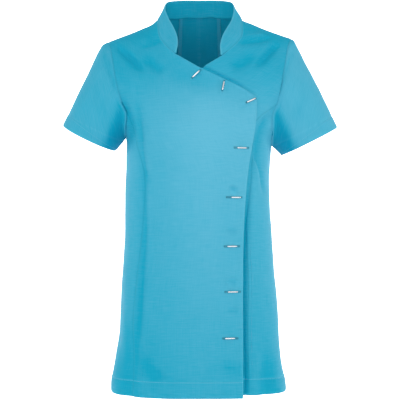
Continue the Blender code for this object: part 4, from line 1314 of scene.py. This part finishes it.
def polished_silver(name):
    """Bright plated metal with faint turning marks and handling haze."""
    finish = Finish(name)
    haze = finish.noise(scale=160.0, detail=3.0, roughness=0.6)
    marks = finish.noise(scale=2400.0, detail=1.0, roughness=0.4)
    finish.set(
        Base_Color=finish.blend(haze, (0.88, 0.90, 0.91, 1.0), (0.96, 0.97, 0.98, 1.0)),
        Metallic=1.0,
        Roughness=0.10 + haze * 0.10,
        Normal=finish.bump(marks, strength=0.08, distance=0.00005),
    )
    return finish.material


def pale_paper(name):
    """White studio paper, whose far side and upper wall shine."""
    finish = Finish(name)
    white, grey, dark = ((part, part, part, 1.0) for part in (1.0, 0.35, 0.06))
    grain = finish.noise(scale=3.0, detail=2.0, roughness=0.5)
    front = finish.blend(finish.ramp("Z", FLOOR, -0.3), dark, grey)
    finish.set(
        Base_Color=finish.blend(grain, (0.90, 0.90, 0.90, 1.0), (0.93, 0.93, 0.93, 1.0)),
        Roughness=0.9,
        Emission_Color=finish.blend(finish.ramp("Y", 0.2, 1.8), front, white),
        Emission_Strength=1.0,
    )
    return finish.material


# ---------------------------------------------------------------- putting the tunic together


def dress(obj, material, slot, *nodes):
    """Gives a piece its finish and makes it ride with the tunic."""
    obj.data.materials.clear()
    obj.data.materials.append(material)
    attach(obj, "root")
    if nodes:
        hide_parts(*nodes)
    return obj


def build():
    sew()
    threads, holes = Form(), Form()
    for name in ("back_side_right", "back_side_left", "right_front_side", "left_front_side"):
        seam_allowance(threads, name, 0 if name == "left_front_side" else -1)
    hem_stitches(threads)

    cloth = poly_cotton("turquoise_poly_cotton", **TURQUOISE)
    thread = sewing_thread("turquoise_thread", **HEM_THREAD)
    # The buttonhole twist's dark colour is painted shade under the bars
    twist = sewing_thread("buttonhole_twist", **SHADED_HOLE_TWIST)
    silver = polished_silver("polished_silver")

    pieces = {name: panel["form"].build(name + "_cloth") for name, panel in PANELS.items()}
    tree = BVHTree.FromObject(pieces["right_front_centre"], bpy.context.evaluated_depsgraph_get())
    for row in BUTTONS:
        buttonhole(holes, row, tree)
    for row in BUTTONS[:3]:
        knot(threads, row, tree)
    for name, obj in pieces.items():
        dress(obj, cloth, "cloth", name)
    hems = dress(threads.build("hem_and_seam_stitches"), thread, "cloth")
    worked = dress(holes.build("buttonhole_stitches"), twist, "cloth")
    for number, row in enumerate(BUTTONS, 1):
        dress(bar_button(number, row, tree), silver, "bars", "button_%d" % number)


# ---------------------------------------------------------------- studio


def cove():
    """A round pale floor that curves up into a low wall."""
    form = bmesh.new()
    angles = [2 * math.pi * turn / COVE_TURNS for turn in range(COVE_TURNS)]
    rings = [
        [form.verts.new((reach * math.cos(angle), reach * math.sin(angle), FLOOR + rise)) for angle in angles]
        for reach, rise in COVE
    ]
    form.faces.new(rings[0])
    for low, high in zip(rings[:-1], rings[1:]):
        for turn in range(COVE_TURNS):
            after = (turn + 1) % COVE_TURNS
            form.faces.new((low[turn], high[turn], high[after], low[after]))
    mesh = bpy.data.meshes.new("studio_floor")
    form.to_mesh(mesh)
    form.free()
    mesh.shade_smooth()
    mesh.materials.append(pale_paper("pale_paper"))
    placed("studio_floor", mesh)


def lamp(name, place, aim, size, power):
    data = bpy.data.lights.new(name, "AREA")
    data.shape = "RECTANGLE"
    data.size, data.size_y = size
    data.energy = power
    obj = placed(name, data)
    obj.location = place
    obj.rotation_euler = (Vector(aim) - Vector(place)).to_track_quat("-Z", "Y").to_euler()


def studio():
    cove()
    world = bpy.data.worlds.new("studio")
    world.use_nodes = True
    sky = world.node_tree.nodes["Background"].inputs
    sky["Color"].default_value = (1.0, 1.0, 1.0, 1.0)
    sky["Strength"].default_value = ROOM_LIGHT
    bpy.context.scene.world = world
    for name, row in LAMPS.items():
        lamp(name, **row)
    view = bpy.context.scene.view_settings
    view.view_transform = "Standard"
    view.look = "None"
    view.exposure = 0.0
    view.gamma = 1.0
    data = bpy.data.cameras.new("camera")
    data.lens = CAMERA_LENS
    data.sensor_width = 36
    data.clip_start = 0.05
    data.clip_end = 30
    camera = placed("camera", data)
    camera.location = CAMERA_PLACE
    camera.rotation_euler = (math.pi / 2, 0, 0)
    bpy.context.scene.camera = camera


build()
studio()
